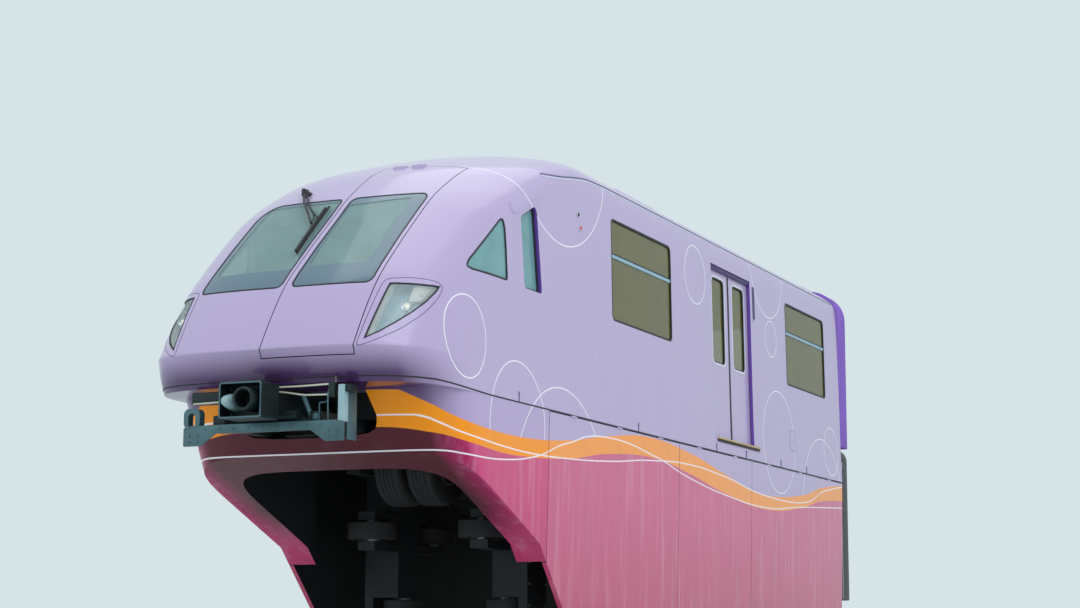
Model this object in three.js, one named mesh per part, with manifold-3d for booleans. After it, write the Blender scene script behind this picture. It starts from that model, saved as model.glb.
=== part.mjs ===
// The lead car of a small straddle monorail train, which rides astride a 700 mm beam.
// Millimetres, +Z up. The nose points to -Y and the car's left side to +X. The car is drawn in rail axes,
// with z = 0 on the beam's top and y = 0 at the gangway's coupling plane, and then set down feet at z = 0.
import * as THREE from "three";
import { mergeVertices } from "three/addons/utils/BufferGeometryUtils.js";
import Module from "manifold-3d";

const wasm = await Module();
wasm.setup();

// Driving dimensions in rail axes.
const BEAM_HALF = 350; // half the width of the beam
const FOOT_Z = -1250; // lowest faces of the bogie legs, which the car stands on when it is off its beam
const SKIRT_Z = -1150; // lower edge of the skirts
const BELT_Z = 830; // gap between the skirts and the body
const FLOOR_Z = 1010; // floor, level with the door sills
const FLOOR_THICK = 80;
const BELLY_TOP_Z = 930; // top of the nose shell's own floor, which the cab floor lies on
const EAVE_Z = 3150; // seam between the walls and the roof
const CROWN_Z = 3450;
const HALF_WIDTH = 1350;
const REAR_Y = -370; // rear face of the car body
const NOSE_SEAM_Y = -9850; // seam between the nose and the straight walls
const WALL = 110; // thickness of the side walls, with the door pockets in them
const HEADSTOCK_Y = -11480; // front face of the underframe, which carries the coupler
const SHELL = 80; // thickness of the nose and the roof
const SKIRT = 45;
const VALANCE = { front: 175, side: 290 }; // thickness of the valance under the nose
const SEAT_GAP = 0.3; // between pieces that rest on one another
const MOVE_GAP = 8; // round every panel that moves

// Levels of the body above the belt: height, half width, front end on the centreline, start of the straight
// sides, and the exponent of the superellipse between them.
const BODY_LEVELS = [
  { z: 830, half: 1362, front: -12420, side: -10900, power: 4.6 },
  { z: 960, half: 1358, front: -12530, side: -10950, power: 4.3 },
  { z: 1110, half: 1352, front: -12590, side: -11000, power: 4.2 },
  { z: 1300, half: 1348, front: -12480, side: -10950, power: 4.1 },
  { z: 1670, half: 1341, front: -12230, side: -10800, power: 4.0 },
  { z: 2040, half: 1335, front: -11860, side: -10500, power: 4.1 },
  { z: 2410, half: 1329, front: -11450, side: -10200, power: 4.0 },
  { z: 2600, half: 1326, front: -11240, side: -9980, power: 3.6 },
  { z: 2780, half: 1322, front: -11000, side: -9800, power: 3.0 },
  { z: 2940, half: 1317, front: -10750, side: -9600, power: 2.6 },
  { z: 3080, half: 1308, front: -10430, side: -9350, power: 2.4 },
  { z: 3190, half: 1286, front: -10100, side: -9050, power: 2.3 },
  { z: 3280, half: 1210, front: -9820, side: -8850, power: 2.2 },
  { z: 3350, half: 1050, front: -9570, side: -8700, power: 2.1 },
  { z: 3410, half: 760, front: -9290, side: -8600, power: 2.0 },
  { z: 3445, half: 370, front: -8980, side: -8500, power: 2.0 },
];
// Levels below the belt, where the front leans back towards the lip.
const SKIRT_LEVELS = [
  { z: SKIRT_Z, half: 1318, front: -10790, side: -9850, power: 5 },
  { z: 210, half: 1352, front: -11600, side: -10800, power: 5 },
  { z: BELT_Z, half: 1362, front: -11970, side: -10900, power: 5 },
];
const NOSE_STEPS = 10; // facets from the centreline to the straight side
const INSET_FROM_Z = 2700; // above this height an inset also lowers the surface
const FRONT_INSET = 1.2; // inset of the raked front for each millimetre of thickness

// Openings.
const WINDOWS = [
  { name: "front", y0: -8290, y1: -6620 },
  { name: "rear", y0: -2650, y1: -990 },
];
const WINDOW_Z = [1880, 2910];
const DOOR_Y = [-5350, -3990];
const DOOR_TOP_Z = 2955;
const LEAF_OUT = 43; // from the wall's outer face to the leaf
const LEAF_THICK = 32;
const POCKET_SKIN = 35;
const LEAF_WINDOW = { width: 420, z0: 1850, z1: 2830, radius: 70 };
const CAB_DOOR_Y = [-10400, -9900];
const CAB_DOOR_TOP_Z = 2680;
// Outlines of the cab's side windows as (y, z). The drip line above the rear one climbs to the rear.
const CAB_WINDOW = [
  [-10345, 1880],
  [-9965, 1880],
  [-10062, 2625],
  [-10110, 2668],
  [-10415, 2518],
];
const QUARTER_WINDOW = [
  [-11365, 1877],
  [-10716, 1884],
  [-10697, 1904],
  [-10729, 2382],
  [-10754, 2441],
  [-10814, 2420],
  [-11395, 1963],
  [-11443, 1898],
];
const FRONT_DOOR = { x0: -4, x1: 845, z0: 1030, y1: -10500 };
const WINDSCREENS = [
  { name: "windscreen_right", x0: -880, x1: -30, z0: 1670, z1: 2640 },
  { name: "windscreen_left", x0: 50, x1: 805, z0: 1670, z1: 2640 },
];
const SCREEN_REAR_Y = -10600; // the windscreens' openings are cut from the front as far as this
const HEADLIGHT_REAR_Y = -11300;
// Depths of the panes' two faces below the skin.
const SCREEN_DEPTH = [6, 26];
const LAMP_DEPTH = [6, 46];
const QUARTER_DEPTH = [8, 26];
const CAB_GLASS_DEPTH = [45, 63];
const SIDE_GLASS_DEPTH = [12, 30];
const HEADLIGHT = [
  [905, 1155],
  [1015, 1228],
  [1100, 1315],
  [1165, 1405],
  [1215, 1505],
  [1243, 1610],
  [1250, 1668],
  [945, 1670],
];
// The lower edge of the nose as (y, z): from far ahead of the car down to the skirt's lower edge.
const SLANT = [
  [-14000, 1309],
  [-10000, -371],
  [-9200, -1200],
];

// Recess in the valance that the coupler stands in: its left half as (x, z), from the bottom upwards.
const RECESS = [
  [340, 458],
  [560, 478],
  [640, 512],
  [668, 565],
  [680, 620],
  [622, 900],
];

// Ledge along the sill of each door opening.
const STEP = { inner: 1150, outer: 1382, y0: -5280, y1: -3820, z0: 976, z1: 1006 };

// Low covers on the roof: where each starts and ends, and their section as (x, z).
const COVERS = [
  [-7260, -6240],
  [-730, REAR_Y],
];
const COVER_SECTION = [
  [-1030, 3250],
  [1030, 3250],
  [1000, 3420],
  [930, 3455],
  [600, 3500],
  [-600, 3500],
  [-930, 3455],
  [-1000, 3420],
];

// Gangway: opening in the end wall, floor plate, half of the bellows and the black piece below it.
const GANGWAY = { half: 620, top: 2960, plateHalf: 600, plateThick: 60, end: -5 };
const BELLOWS_FOLDS = 4;
const BELLOWS = { half: 1335, top: 3420, bottom: 1310, depth: 25, radius: 380 };
const BELLOWS_HOLLOW = { half: 1010, top: 2990 };
const APRON = { half: 1330, innerHalf: 1130, bottom: -700, tieBottom: 790, tieTop: 935 };

// Coupler gear. The beam's outline is its section across the car, as (x, z).
const COUPLER_BEAM = { front: -12520, rear: -12440, armIn: 400, armOut: 520, armBottom: 485, armTop: 600 };
const COUPLER_OUTLINE = [
  [-760, 345],
  [-590, 345],
  [-445, 445],
  [445, 445],
  [590, 345],
  [760, 345],
  [760, 800],
  [700, 800],
  [690, 515],
  [-600, 515],
  [-600, 660],
  [-760, 660],
];
const SHANK = { half: 90, z0: 600, z1: 780, front: -12600 };
const HEAD = { half: 200, z0: 520, z1: 815, front: -12860, rear: -12590 };
const FUNNEL = { r: 95, x: 60, z: 690, front: -12930 };

// Hole in the nose shell's own floor for the underframe to pass through.
const BELLY_HOLE = { half: 1180, front: -11700 };

// Underframe below the floor.
const SILL = { inner: 620, outer: 760, bottom: 790, front: -11400 };
const BOLSTER = { half: 1100, length: 480 };
const HEADSTOCK = { half: 760, bottom: 520, rear: -11300 };

// Cab and saloon fittings.
const PARTITION = { front: -9640, rear: -9580, doorHalf: 380, doorTop: 2900 };
const DESK = { x0: -1100, x1: -120, front: -12050, rear: -11300, top: 1600 };
const DESK_HOLLOW = { x0: -1000, x1: -220, front: -11700, top: 1420 };
const BENCH_END_GAP = 60; // from the window's end to the bench's
const BENCH = [
  [1225, FLOOR_Z + SEAT_GAP],
  [1225, 1850],
  [1165, 1850],
  [1115, 1480],
  [760, 1460],
  [760, 1390],
  [1000, 1360],
  [1000, FLOOR_Z + SEAT_GAP],
];

// Running gear. A bogie's dimensions are measured from its own pivot.
const BOGIES = [
  { name: "front", y: -9000 },
  { name: "rear", y: -2300 },
];
const WHEEL_R = 390;
const AXLE_R = 50;
const AXLE_END = 600;
const AXLE_COLLAR_R = 90;
const AXLE_OFFSET = 750;
const TYRE = { inner: 35, outer: 300, shoulder: 35, chamfer: 30, rim: 200, dish: 70 };
const GUIDE = { r: 230, y: 600, z0: -290, z1: -130 };
const STABLE = { r: 200, z0: -985, z1: -845 };
const PIN_R = 35;
const PIN_REACH = 70; // how far a pin runs past its wheel's sides
const HUB_R = 60;
const ARM_GAP = 20; // between a guide wheel's sides and the arms above and below it
const PIVOT = { r: 200, bottom: 500, top: 800, pin: 60, pinTop: 940 };
const FRAME_INNER = 420; // inner faces of the side beams
const SIDE_BEAM = { outer: 560, half: 1150, z0: 290, z1: 520 };
const OUTRIGGER = { outer: 860, half: 220, z0: 150, legInner: 500, legTop: 200 };
const ARM = { outer: 680, half: 700, thick: 80 };
const STABLE_NOTCH = { inner: 300, outer: 770, half: 300 };
const TRANSOM = { half: 430, length: 500, z0: 120 };

// Hinges: radius of their barrels, and where the axes lie.
const BARREL_R = 10;
const SKIRT_AXIS = { x: 1362, z: BELT_Z - MOVE_GAP / 2 };
const FRONT_DOOR_AXIS = { y: FRONT_DOOR.y1 - MOVE_GAP / 2, z: 3052 };
const FRONT_DOOR_BARRELS = [
  [110, 230],
  [300, 420],
];
const HINGE_TAB = { length: 70, depth: 100, back: 4 };
const CAB_DOOR_AXIS = { x: -1245, y: CAB_DOOR_Y[1] - MOVE_GAP / 2 };
const CAB_DOOR_BARRELS = [
  [1150, 1270],
  [2400, 2520],
];
const SKIRT_SEAMS = [NOSE_SEAM_Y, -6500, -4110, REAR_Y];
const SKIRT_BARREL = { pitch: 1100, half: 60 };

const paint = {
  lavender: { color: 0xc3b1dc, roughness: 0.25, metalness: 0.1 },
  maroon: { color: 0xa83a78, roughness: 0.3, metalness: 0.1 },
  glass: { color: 0x6c7358, roughness: 0.08, metalness: 0.0 },
  screen: { color: 0x7d9b9e, roughness: 0.08, metalness: 0.0 },
  steel: { color: 0x86a2a2, roughness: 0.5, metalness: 0.6 },
  chassis: { color: 0x3d4146, roughness: 0.7, metalness: 0.4 },
  rubber: { color: 0x16181a, roughness: 0.9, metalness: 0.0 },
  bellows: { color: 0x9a72c8, roughness: 0.8, metalness: 0.0 },
  trim: { color: 0xb9bcc0, roughness: 0.5, metalness: 0.1 },
  seat: { color: 0x5a4a8a, roughness: 0.8, metalness: 0.0 },
};

// A closed geometry as a solid.
function solid(geometry) {
  const bare = geometry.index ? geometry.toNonIndexed() : geometry.clone();
  bare.deleteAttribute("normal");
  bare.deleteAttribute("uv");
  const merged = mergeVertices(bare, 1e-3);
  const triVerts = new Uint32Array(merged.index.array);
  const make = () =>
    new wasm.Manifold(
      new wasm.Mesh({ numProp: 3, vertProperties: merged.attributes.position.array, triVerts }),
    );
  const made = make();
  if (made.volume() >= 0) return made;
  for (let i = 0; i < triVerts.length; i += 3) {
    [triVerts[i + 1], triVerts[i + 2]] = [triVerts[i + 2], triVerts[i + 1]];
  }
  return make();
}

// A solid as a named mesh.
function mesh(name, body, look) {
  const raw = body.getMesh();
  const geometry = new THREE.BufferGeometry();
  geometry.setAttribute("position", new THREE.BufferAttribute(raw.vertProperties, 3));
  geometry.setIndex(new THREE.BufferAttribute(raw.triVerts, 1));
  geometry.computeVertexNormals();
  const made = new THREE.Mesh(geometry, new THREE.MeshStandardMaterial(look));
  made.name = name;
  return made;
}

const join = (first, ...rest) => rest.reduce((sum, body) => sum.add(body), first);
const cut = (first, ...rest) => rest.reduce((left, body) => left.subtract(body), first);

function box(x0, x1, y0, y1, z0, z1) {
  const geometry = new THREE.BoxGeometry(x1 - x0, y1 - y0, z1 - z0);
  return solid(geometry.translate((x0 + x1) / 2, (y0 + y1) / 2, (z0 + z1) / 2));
}

// A cylinder from low to high along an axis. Its centre is given for the other two axes, in x, y, z order.
function rod(axis, radius, low, high, centre, steps = 16) {
  const geometry = new THREE.CylinderGeometry(radius, radius, high - low, steps);
  geometry.translate(0, (low + high) / 2, 0);
  const [a, b] = centre;
  if (axis === "x") geometry.rotateZ(-Math.PI / 2).translate(0, a, b);
  if (axis === "y") geometry.translate(a, 0, b);
  if (axis === "z") geometry.rotateX(Math.PI / 2).translate(a, b, 0);
  return solid(geometry);
}

// An outline pushed along an axis from low to high. Its points are (y, z) for "x" and (x, z) for "y".
function prism(axis, outline, low, high) {
  const shape = new THREE.Shape(outline.map(([a, b]) => new THREE.Vector2(a, b)));
  const geometry = new THREE.ExtrudeGeometry(shape, { depth: high - low, bevelEnabled: false });
  geometry.translate(0, 0, low);
  const place = geometry.attributes.position;
  for (let i = 0; i < place.count; i++) {
    const [a, b, depth] = [place.getX(i), place.getY(i), place.getZ(i)];
    if (axis === "x") place.setXYZ(i, depth, a, b);
    if (axis === "y") place.setXYZ(i, a, depth, b);
  }
  return solid(geometry);
}

// Corners of a rectangle, each rounded by its own radius or by one radius for all, in order from (a0, b0).
function rounded(a0, a1, b0, b1, radii, steps = 4) {
  const [r0, r1, r2, r3] = Array.isArray(radii) ? radii : [radii, radii, radii, radii];
  const corners = [
    { a: a0 + r0, b: b0 + r0, r: r0, from: Math.PI },
    { a: a1 - r1, b: b0 + r1, r: r1, from: 1.5 * Math.PI },
    { a: a1 - r2, b: b1 - r2, r: r2, from: 0 },
    { a: a0 + r3, b: b1 - r3, r: r3, from: 0.5 * Math.PI },
  ];
  return corners.flatMap(({ a, b, r, from }) =>
    Array.from({ length: steps + 1 }, (_, i) => {
      const angle = from + (i / steps) * 0.5 * Math.PI;
      return [a + r * Math.cos(angle), b + r * Math.sin(angle)];
    }),
  );
}

// A round bore that a rod of the given radius turns in.
const bore = (axis, radius, low, high, centre, steps = 16) =>
  rod(axis, (radius + SEAT_GAP) / Math.cos(Math.PI / steps), low, high, centre, steps);

// The outline moved inwards by a distance, for convex outlines that run anticlockwise.
function inset(outline, distance) {
  const count = outline.length;
  return outline.map(([a, b], i) => {
    const [pa, pb] = outline[(i + count - 1) % count];
    const [na, nb] = outline[(i + 1) % count];
    const before = Math.hypot(a - pa, b - pb);
    const after = Math.hypot(na - a, nb - b);
    const n1 = [-(b - pb) / before, (a - pa) / before];
    const n2 = [-(nb - b) / after, (na - a) / after];
    const scale = distance / (1 + n1[0] * n2[0] + n1[1] * n2[1]);
    return [a + scale * (n1[0] + n2[0]), b + scale * (n1[1] + n2[1])];
  });
}

// A solid through a stack of closed rings that all have as many points.
function loft(rings) {
  const count = rings[0].length;
  const points = rings.flat();
  const faces = [];
  for (let k = 0; k + 1 < rings.length; k++) {
    for (let i = 0; i < count; i++) {
      const [a, b] = [k * count + i, k * count + ((i + 1) % count)];
      faces.push(a, b, b + count, a, b + count, a + count);
    }
  }
  const flat = rings[0][0][1] === rings[0][1][1] && rings[0][0][1] === rings[0][2][1];
  const cap = THREE.ShapeUtils.triangulateShape(
    rings[0].map(([x, y, z]) => new THREE.Vector2(x, flat ? z : y)),
    [],
  );
  const top = (rings.length - 1) * count;
  for (const [a, b, c] of cap) faces.push(c, b, a, top + a, top + b, top + c);
  const geometry = new THREE.BufferGeometry();
  geometry.setAttribute("position", new THREE.Float32BufferAttribute(points.flat(), 3));
  geometry.setIndex(faces);
  return solid(geometry);
}

// The plan outline at one level, closed at the rear plane.
function plan({ z, half, front, side, power, rear }) {
  const right = Array.from({ length: NOSE_STEPS + 1 }, (_, i) => {
    const angle = (i / NOSE_STEPS) * 0.5 * Math.PI;
    const across = Math.sin(angle) ** (2 / power);
    const along = Math.cos(angle) ** (2 / power);
    return [half * across, side - (side - front) * Math.max(along, 0), z];
  });
  const left = right.slice(1).map(([x, y]) => [-x, y, z]);
  return [[-half, rear, z], ...left.reverse(), ...right, [half, rear, z]];
}

// The body's solid, with its surface moved inwards by a thickness. An inset one runs past the rear plane,
// and past the lowest level unless it is given its own floor.
function body(levels, thickness, ownFloor = false) {
  return loft(
    levels.map((level, i) => {
      const drop = i || ownFloor ? 0 : thickness;
      const lift = Math.max(0, (level.z - INSET_FROM_Z) / (CROWN_Z - INSET_FROM_Z));
      return plan({
        z: level.z - thickness * lift - drop,
        half: level.half - thickness,
        front: level.front + FRONT_INSET * thickness,
        side: level.side,
        power: level.power,
        rear: REAR_Y + thickness,
      });
    }),
  );
}

const upper = (thickness) => body(BODY_LEVELS, thickness);
const lower = (thickness) => body(SKIRT_LEVELS, thickness);
const layer = (outer, inner) => cut(upper(outer), upper(inner));
const FAR = 20000;
const everywhere = { x: [-FAR, FAR], y: [-FAR, FAR], z: [-FAR, FAR] };
const range = (limits) => {
  const { x, y, z } = { ...everywhere, ...limits };
  return box(...x, ...y, ...z);
};

const car = new THREE.Group();
const put = (name, made, look) => car.add(mesh(name, made, look));

// Places of the hinge barrels along one skirt panel.
function barrelSpans(front, rear) {
  const count = Math.round((rear - front) / SKIRT_BARREL.pitch);
  const step = (rear - front) / count;
  return Array.from({ length: count }, (_, i) => {
    const middle = front + (i + 0.5) * step;
    return [middle - SKIRT_BARREL.half, middle + SKIRT_BARREL.half];
  });
}
const skirtSpans = SKIRT_SEAMS.slice(1).map((rear, i) => barrelSpans(SKIRT_SEAMS[i], rear));

const windowOutline = ({ y0, y1 }) => rounded(y0, y1, ...WINDOW_Z, 70);
const glassOutline = (outline) => inset(outline, SEAT_GAP);

// Side walls, with the windows, the door opening and the pockets that the leaves slide into.
function sideWall(side) {
  const half = side === "left" ? { x: [1000, FAR] } : { x: [-FAR, -1000] };
  const across = half.x;
  const blank = cut(upper(0), upper(WALL)).intersect(
    range({ ...half, y: [NOSE_SEAM_Y + SEAT_GAP, REAR_Y - SHELL], z: [BELT_Z, EAVE_Z] }),
  );
  const leafTravel = (DOOR_Y[1] - DOOR_Y[0]) / 2;
  const pocket = layer(POCKET_SKIN, LEAF_OUT + LEAF_THICK + MOVE_GAP).intersect(
    range({
      ...half,
      y: [DOOR_Y[0] - leafTravel - 2 * MOVE_GAP, DOOR_Y[1] + leafTravel + 2 * MOVE_GAP],
      z: [FLOOR_Z, DOOR_TOP_Z + 2 * MOVE_GAP],
    }),
  );
  const opening = box(...across, ...DOOR_Y, FLOOR_Z, DOOR_TOP_Z);
  const step = side === "left" ? [STEP.inner, STEP.outer] : [-STEP.outer, -STEP.inner];
  const lug = box(...step, STEP.y0, STEP.y1, STEP.z0, STEP.z1).subtract(upper(WALL / 2));
  const holes = WINDOWS.map((w) => prism("x", windowOutline(w), ...across));
  const axis = [side === "left" ? SKIRT_AXIS.x : -SKIRT_AXIS.x, SKIRT_AXIS.z];
  const grooves = skirtSpans.flat().map(([low, high]) => bore("y", BARREL_R, low - 2, high + 2, axis));
  return cut(join(blank, lug), pocket, opening, ...holes, ...grooves);
}

function doorLeaf(side, end) {
  const middle = (DOOR_Y[0] + DOOR_Y[1]) / 2;
  const y = end === "front" ? [DOOR_Y[0] - MOVE_GAP, middle - 4] : [middle + 4, DOOR_Y[1] + MOVE_GAP];
  const across = side === "left" ? [0, FAR] : [-FAR, 0];
  const sheet = layer(LEAF_OUT, LEAF_OUT + LEAF_THICK).intersect(
    box(...across, ...y, FLOOR_Z + SEAT_GAP, DOOR_TOP_Z + MOVE_GAP),
  );
  const centre = (y[0] + y[1]) / 2;
  const { width, z0, z1, radius } = LEAF_WINDOW;
  const slot = prism("x", rounded(centre - width / 2, centre + width / 2, z0, z1, radius), ...across);
  return cut(sheet, slot);
}

for (const side of ["left", "right"]) {
  put("side_wall_" + side, sideWall(side), paint.lavender);
  for (const end of ["front", "rear"]) {
    put(`door_leaf_${side}_${end}`, doorLeaf(side, end), paint.lavender);
  }
  for (const w of WINDOWS) {
    const across = side === "left" ? [0, FAR] : [-FAR, 0];
    const pane = prism("x", glassOutline(windowOutline(w)), ...across);
    put(`window_${side}_${w.name}`, layer(...SIDE_GLASS_DEPTH).intersect(pane), paint.glass);
  }
}

// Roof, with low equipment covers. The rear one runs on over the end wall.
const coverBlocks = COVERS.map(([front, rear]) =>
  cut(prism("y", COVER_SECTION, front, rear), upper(SHELL / 2)),
);
const roof = join(cut(upper(0), upper(SHELL)), ...coverBlocks).intersect(
  range({ y: [NOSE_SEAM_Y + SEAT_GAP, REAR_Y - SHELL], z: [EAVE_Z + SEAT_GAP, FAR] }),
);
put("roof", roof, paint.lavender);

// Nose shell with the belly pan under the cab, and the emergency door cut from it.
const cabSpace = body([{ ...BODY_LEVELS[1], z: BELLY_TOP_Z }, ...BODY_LEVELS.slice(2)], SHELL, true);
const frontDoorHole = box(
  FRONT_DOOR.x0,
  FRONT_DOOR.x1,
  -FAR,
  FRONT_DOOR.y1,
  FRONT_DOOR.z0,
  FAR,
);
const frontDoorBlock = box(
  FRONT_DOOR.x0 + MOVE_GAP,
  FRONT_DOOR.x1 - MOVE_GAP,
  -FAR,
  FRONT_DOOR.y1 - MOVE_GAP,
  FRONT_DOOR.z0 + MOVE_GAP,
  FAR,
);
const screenOutline = ({ x0, x1, z0, z1 }) => {
  const corner = x0 < 0 ? [60, 60, 60, 190] : [60, 60, 90, 60];
  return rounded(x0, x1, z0, z1, corner);
};
const screenHoles = WINDSCREENS.map((w) => prism("y", screenOutline(w), -FAR, SCREEN_REAR_Y));
const mirrorX = (outline) => outline.map(([a, b]) => [-a, b]).reverse();
const headlights = [
  { name: "headlight_left", outline: HEADLIGHT },
  { name: "headlight_right", outline: mirrorX(HEADLIGHT) },
];
const headlightHoles = headlights.map(({ outline }) => prism("y", outline, -FAR, HEADLIGHT_REAR_Y));
const noseHoles = [
  ...screenHoles,
  ...headlightHoles,
  prism("x", QUARTER_WINDOW, -FAR, FAR),
  prism("x", CAB_WINDOW, 0, FAR),
  box(-FAR, 0, ...CAB_DOOR_Y, FLOOR_Z, CAB_DOOR_TOP_Z),
  box(-BELLY_HOLE.half, BELLY_HOLE.half, BELLY_HOLE.front, NOSE_SEAM_Y + 10, BELT_Z - 10, BELLY_TOP_Z + 10),
];
const noseBlank = cut(upper(0), cabSpace).intersect(range({ y: [-FAR, NOSE_SEAM_Y] }));
// The emergency door hangs on two barrels along its top edge, each on a tab of its own.
const doorAxis = [FRONT_DOOR_AXIS.y, FRONT_DOOR_AXIS.z];
const doorHinges = FRONT_DOOR_BARRELS.map(([low, high]) => ({
  barrel: join(
    rod("x", BARREL_R, low, high, doorAxis),
    box(
      low,
      high,
      doorAxis[0] - HINGE_TAB.length,
      doorAxis[0] - HINGE_TAB.back,
      doorAxis[1] - HINGE_TAB.depth,
      doorAxis[1] - HINGE_TAB.back,
    ),
  ),
  bore: bore("x", BARREL_R, low - 2, high + 2, doorAxis),
}));
const noseFrame = cut(noseBlank, ...noseHoles, frontDoorHole);
// The cab door turns inwards on two barrels at its rear edge.
const cabAxis = [CAB_DOOR_AXIS.x, CAB_DOOR_AXIS.y];
const cabHinges = CAB_DOOR_BARRELS.map(([low, high]) => ({
  barrel: join(
    rod("z", BARREL_R, low, high, cabAxis),
    box(-1290, cabAxis[0], cabAxis[1] - 45, cabAxis[1] - 4, low, high).intersect(upper(LEAF_OUT + 10)),
  ),
  seat: box(-1290, cabAxis[0] + 8, cabAxis[1] + 4, -9860, low, high).intersect(upper(40)),
  bore: bore("z", BARREL_R, low - 2, high + 2, cabAxis),
}));
put(
  "nose_shell",
  cut(
    join(noseFrame, ...cabHinges.map(({ seat }) => seat)),
    ...[...doorHinges, ...cabHinges].map((hinge) => hinge.bore),
  ),
  paint.lavender,
);
put(
  "front_door",
  join(cut(noseBlank, ...screenHoles).intersect(frontDoorBlock), ...doorHinges.map(({ barrel }) => barrel)),
  paint.lavender,
);

for (const w of WINDSCREENS) {
  const pane = prism("y", glassOutline(screenOutline(w)), -FAR, SCREEN_REAR_Y);
  put(w.name, layer(...SCREEN_DEPTH).intersect(pane), paint.screen);
}
for (const { name, outline } of headlights) {
  const lens = prism("y", glassOutline(outline), -FAR, HEADLIGHT_REAR_Y);
  put(name, layer(...LAMP_DEPTH).intersect(lens), paint.screen);
}
for (const side of ["left", "right"]) {
  const across = side === "left" ? [0, FAR] : [-FAR, 0];
  const pane = prism("x", glassOutline(QUARTER_WINDOW), ...across);
  put("quarter_window_" + side, layer(...QUARTER_DEPTH).intersect(pane), paint.screen);
}
const cabPane = prism("x", glassOutline(CAB_WINDOW), 0, FAR);
put("cab_window_left", layer(...CAB_GLASS_DEPTH).intersect(cabPane), paint.screen);
const [cabDoorFront, cabDoorRear] = [CAB_DOOR_Y[0] + MOVE_GAP, CAB_DOOR_Y[1] - MOVE_GAP];
const cabLeaf = layer(LEAF_OUT, LEAF_OUT + LEAF_THICK).intersect(
  box(-FAR, 0, cabDoorFront, cabDoorRear, FLOOR_Z + MOVE_GAP, CAB_DOOR_TOP_Z - MOVE_GAP),
);
put("cab_door_right", join(cabLeaf, ...cabHinges.map(({ barrel }) => barrel)), paint.lavender);

// Valance under the nose, with its slanted lower edge and the recess for the coupler.
const slantFoot = [SLANT.at(-1), SLANT[0]].map(([y]) => [y, -FAR]);
const belowSlant = prism("x", [...SLANT, ...slantFoot], -FAR, FAR);
const recess = prism("y", [...RECESS, ...mirrorX(RECESS)], -FAR, SILL.front);
const valanceNarrowing = VALANCE.side - VALANCE.front;
const valanceLevels = SKIRT_LEVELS.map((level) => ({ ...level, half: level.half - valanceNarrowing }));
const valanceSpace = body(valanceLevels, VALANCE.front);
const valance = cut(lower(0), valanceSpace, belowSlant, recess).intersect(
  range({ y: [-FAR, NOSE_SEAM_Y], z: [-FAR, BELT_Z - SEAT_GAP] }),
);
put("nose_valance", valance, paint.maroon);

// Hinged skirt panels along both sides.
SKIRT_SEAMS.slice(1).forEach((rear, i) => {
  const front = SKIRT_SEAMS[i];
  for (const side of ["left", "right"]) {
    const across = side === "left" ? [0, FAR] : [-FAR, 0];
    const panel = cut(lower(0), lower(SKIRT), belowSlant).intersect(
      box(...across, front + MOVE_GAP, rear - (i < 2 ? 0 : MOVE_GAP), -FAR, BELT_Z - MOVE_GAP),
    );
    const axis = [side === "left" ? SKIRT_AXIS.x : -SKIRT_AXIS.x, SKIRT_AXIS.z];
    const barrels = skirtSpans[i].map(([low, high]) => rod("y", BARREL_R, low, high, axis));
    put(`skirt_${side}_${i + 1}`, join(panel, ...barrels), paint.maroon);
  }
});

// Underframe: floor, two long sills, the bolsters over the bogies and the front headstock.
const frameRear = REAR_Y - SHELL - SEAT_GAP;
const floorHalf = HALF_WIDTH - WALL;
const frameTop = FLOOR_Z - FLOOR_THICK / 4;
const floorBottom = FLOOR_Z - FLOOR_THICK;
const floor = box(-floorHalf, floorHalf, NOSE_SEAM_Y - 100, frameRear, floorBottom, FLOOR_Z).intersect(
  upper(WALL + SEAT_GAP),
);
const cabFloor = body(
  [
    { ...BODY_LEVELS[1], z: BELLY_TOP_Z + SEAT_GAP },
    { ...BODY_LEVELS[1], z: FLOOR_Z },
  ],
  WALL,
  true,
).intersect(range({ y: [-FAR, NOSE_SEAM_Y] }));
// The two limits of a piece on one side of the centreline, from its inner and outer distance.
const sideOf = (s, inner, outer) => [Math.min(s * inner, s * outer), Math.max(s * inner, s * outer)];
const longSills = [-1, 1].map((s) =>
  box(...sideOf(s, SILL.inner, SILL.outer), SILL.front, frameRear, SILL.bottom, frameTop),
);
const bolsters = BOGIES.map(({ y }) => {
  const [front, rear] = [y - BOLSTER.length / 2, y + BOLSTER.length / 2];
  return box(-BOLSTER.half, BOLSTER.half, front, rear, PIVOT.top + SEAT_GAP, frameTop);
});
const pivotBores = BOGIES.map(({ y }) => bore("z", PIVOT.pin, 0, PIVOT.pinTop + 2 * ARM_GAP, [0, y]));
const headstock = box(
  -HEADSTOCK.half,
  HEADSTOCK.half,
  HEADSTOCK_Y,
  HEADSTOCK.rear,
  HEADSTOCK.bottom,
  frameTop,
);
put(
  "underframe",
  cut(join(floor, cabFloor, ...longSills, ...bolsters, headstock), ...pivotBores),
  paint.chassis,
);

// Rear end wall with the gangway opening and its floor plate.
const gangwayOpening = box(-GANGWAY.half, GANGWAY.half, -FAR, FAR, FLOOR_Z, GANGWAY.top);
const rearCover = prism("y", COVER_SECTION, COVERS[1][0], REAR_Y);
const endWall = cut(join(upper(0), rearCover), gangwayOpening).intersect(
  range({ y: [REAR_Y - SHELL + SEAT_GAP, REAR_Y] }),
);
const gangwayFloor = box(
  -GANGWAY.plateHalf,
  GANGWAY.plateHalf,
  REAR_Y - 10,
  GANGWAY.end,
  FLOOR_Z - GANGWAY.plateThick,
  FLOOR_Z,
);
put("rear_end_wall", join(endWall, gangwayFloor), paint.lavender);

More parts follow.
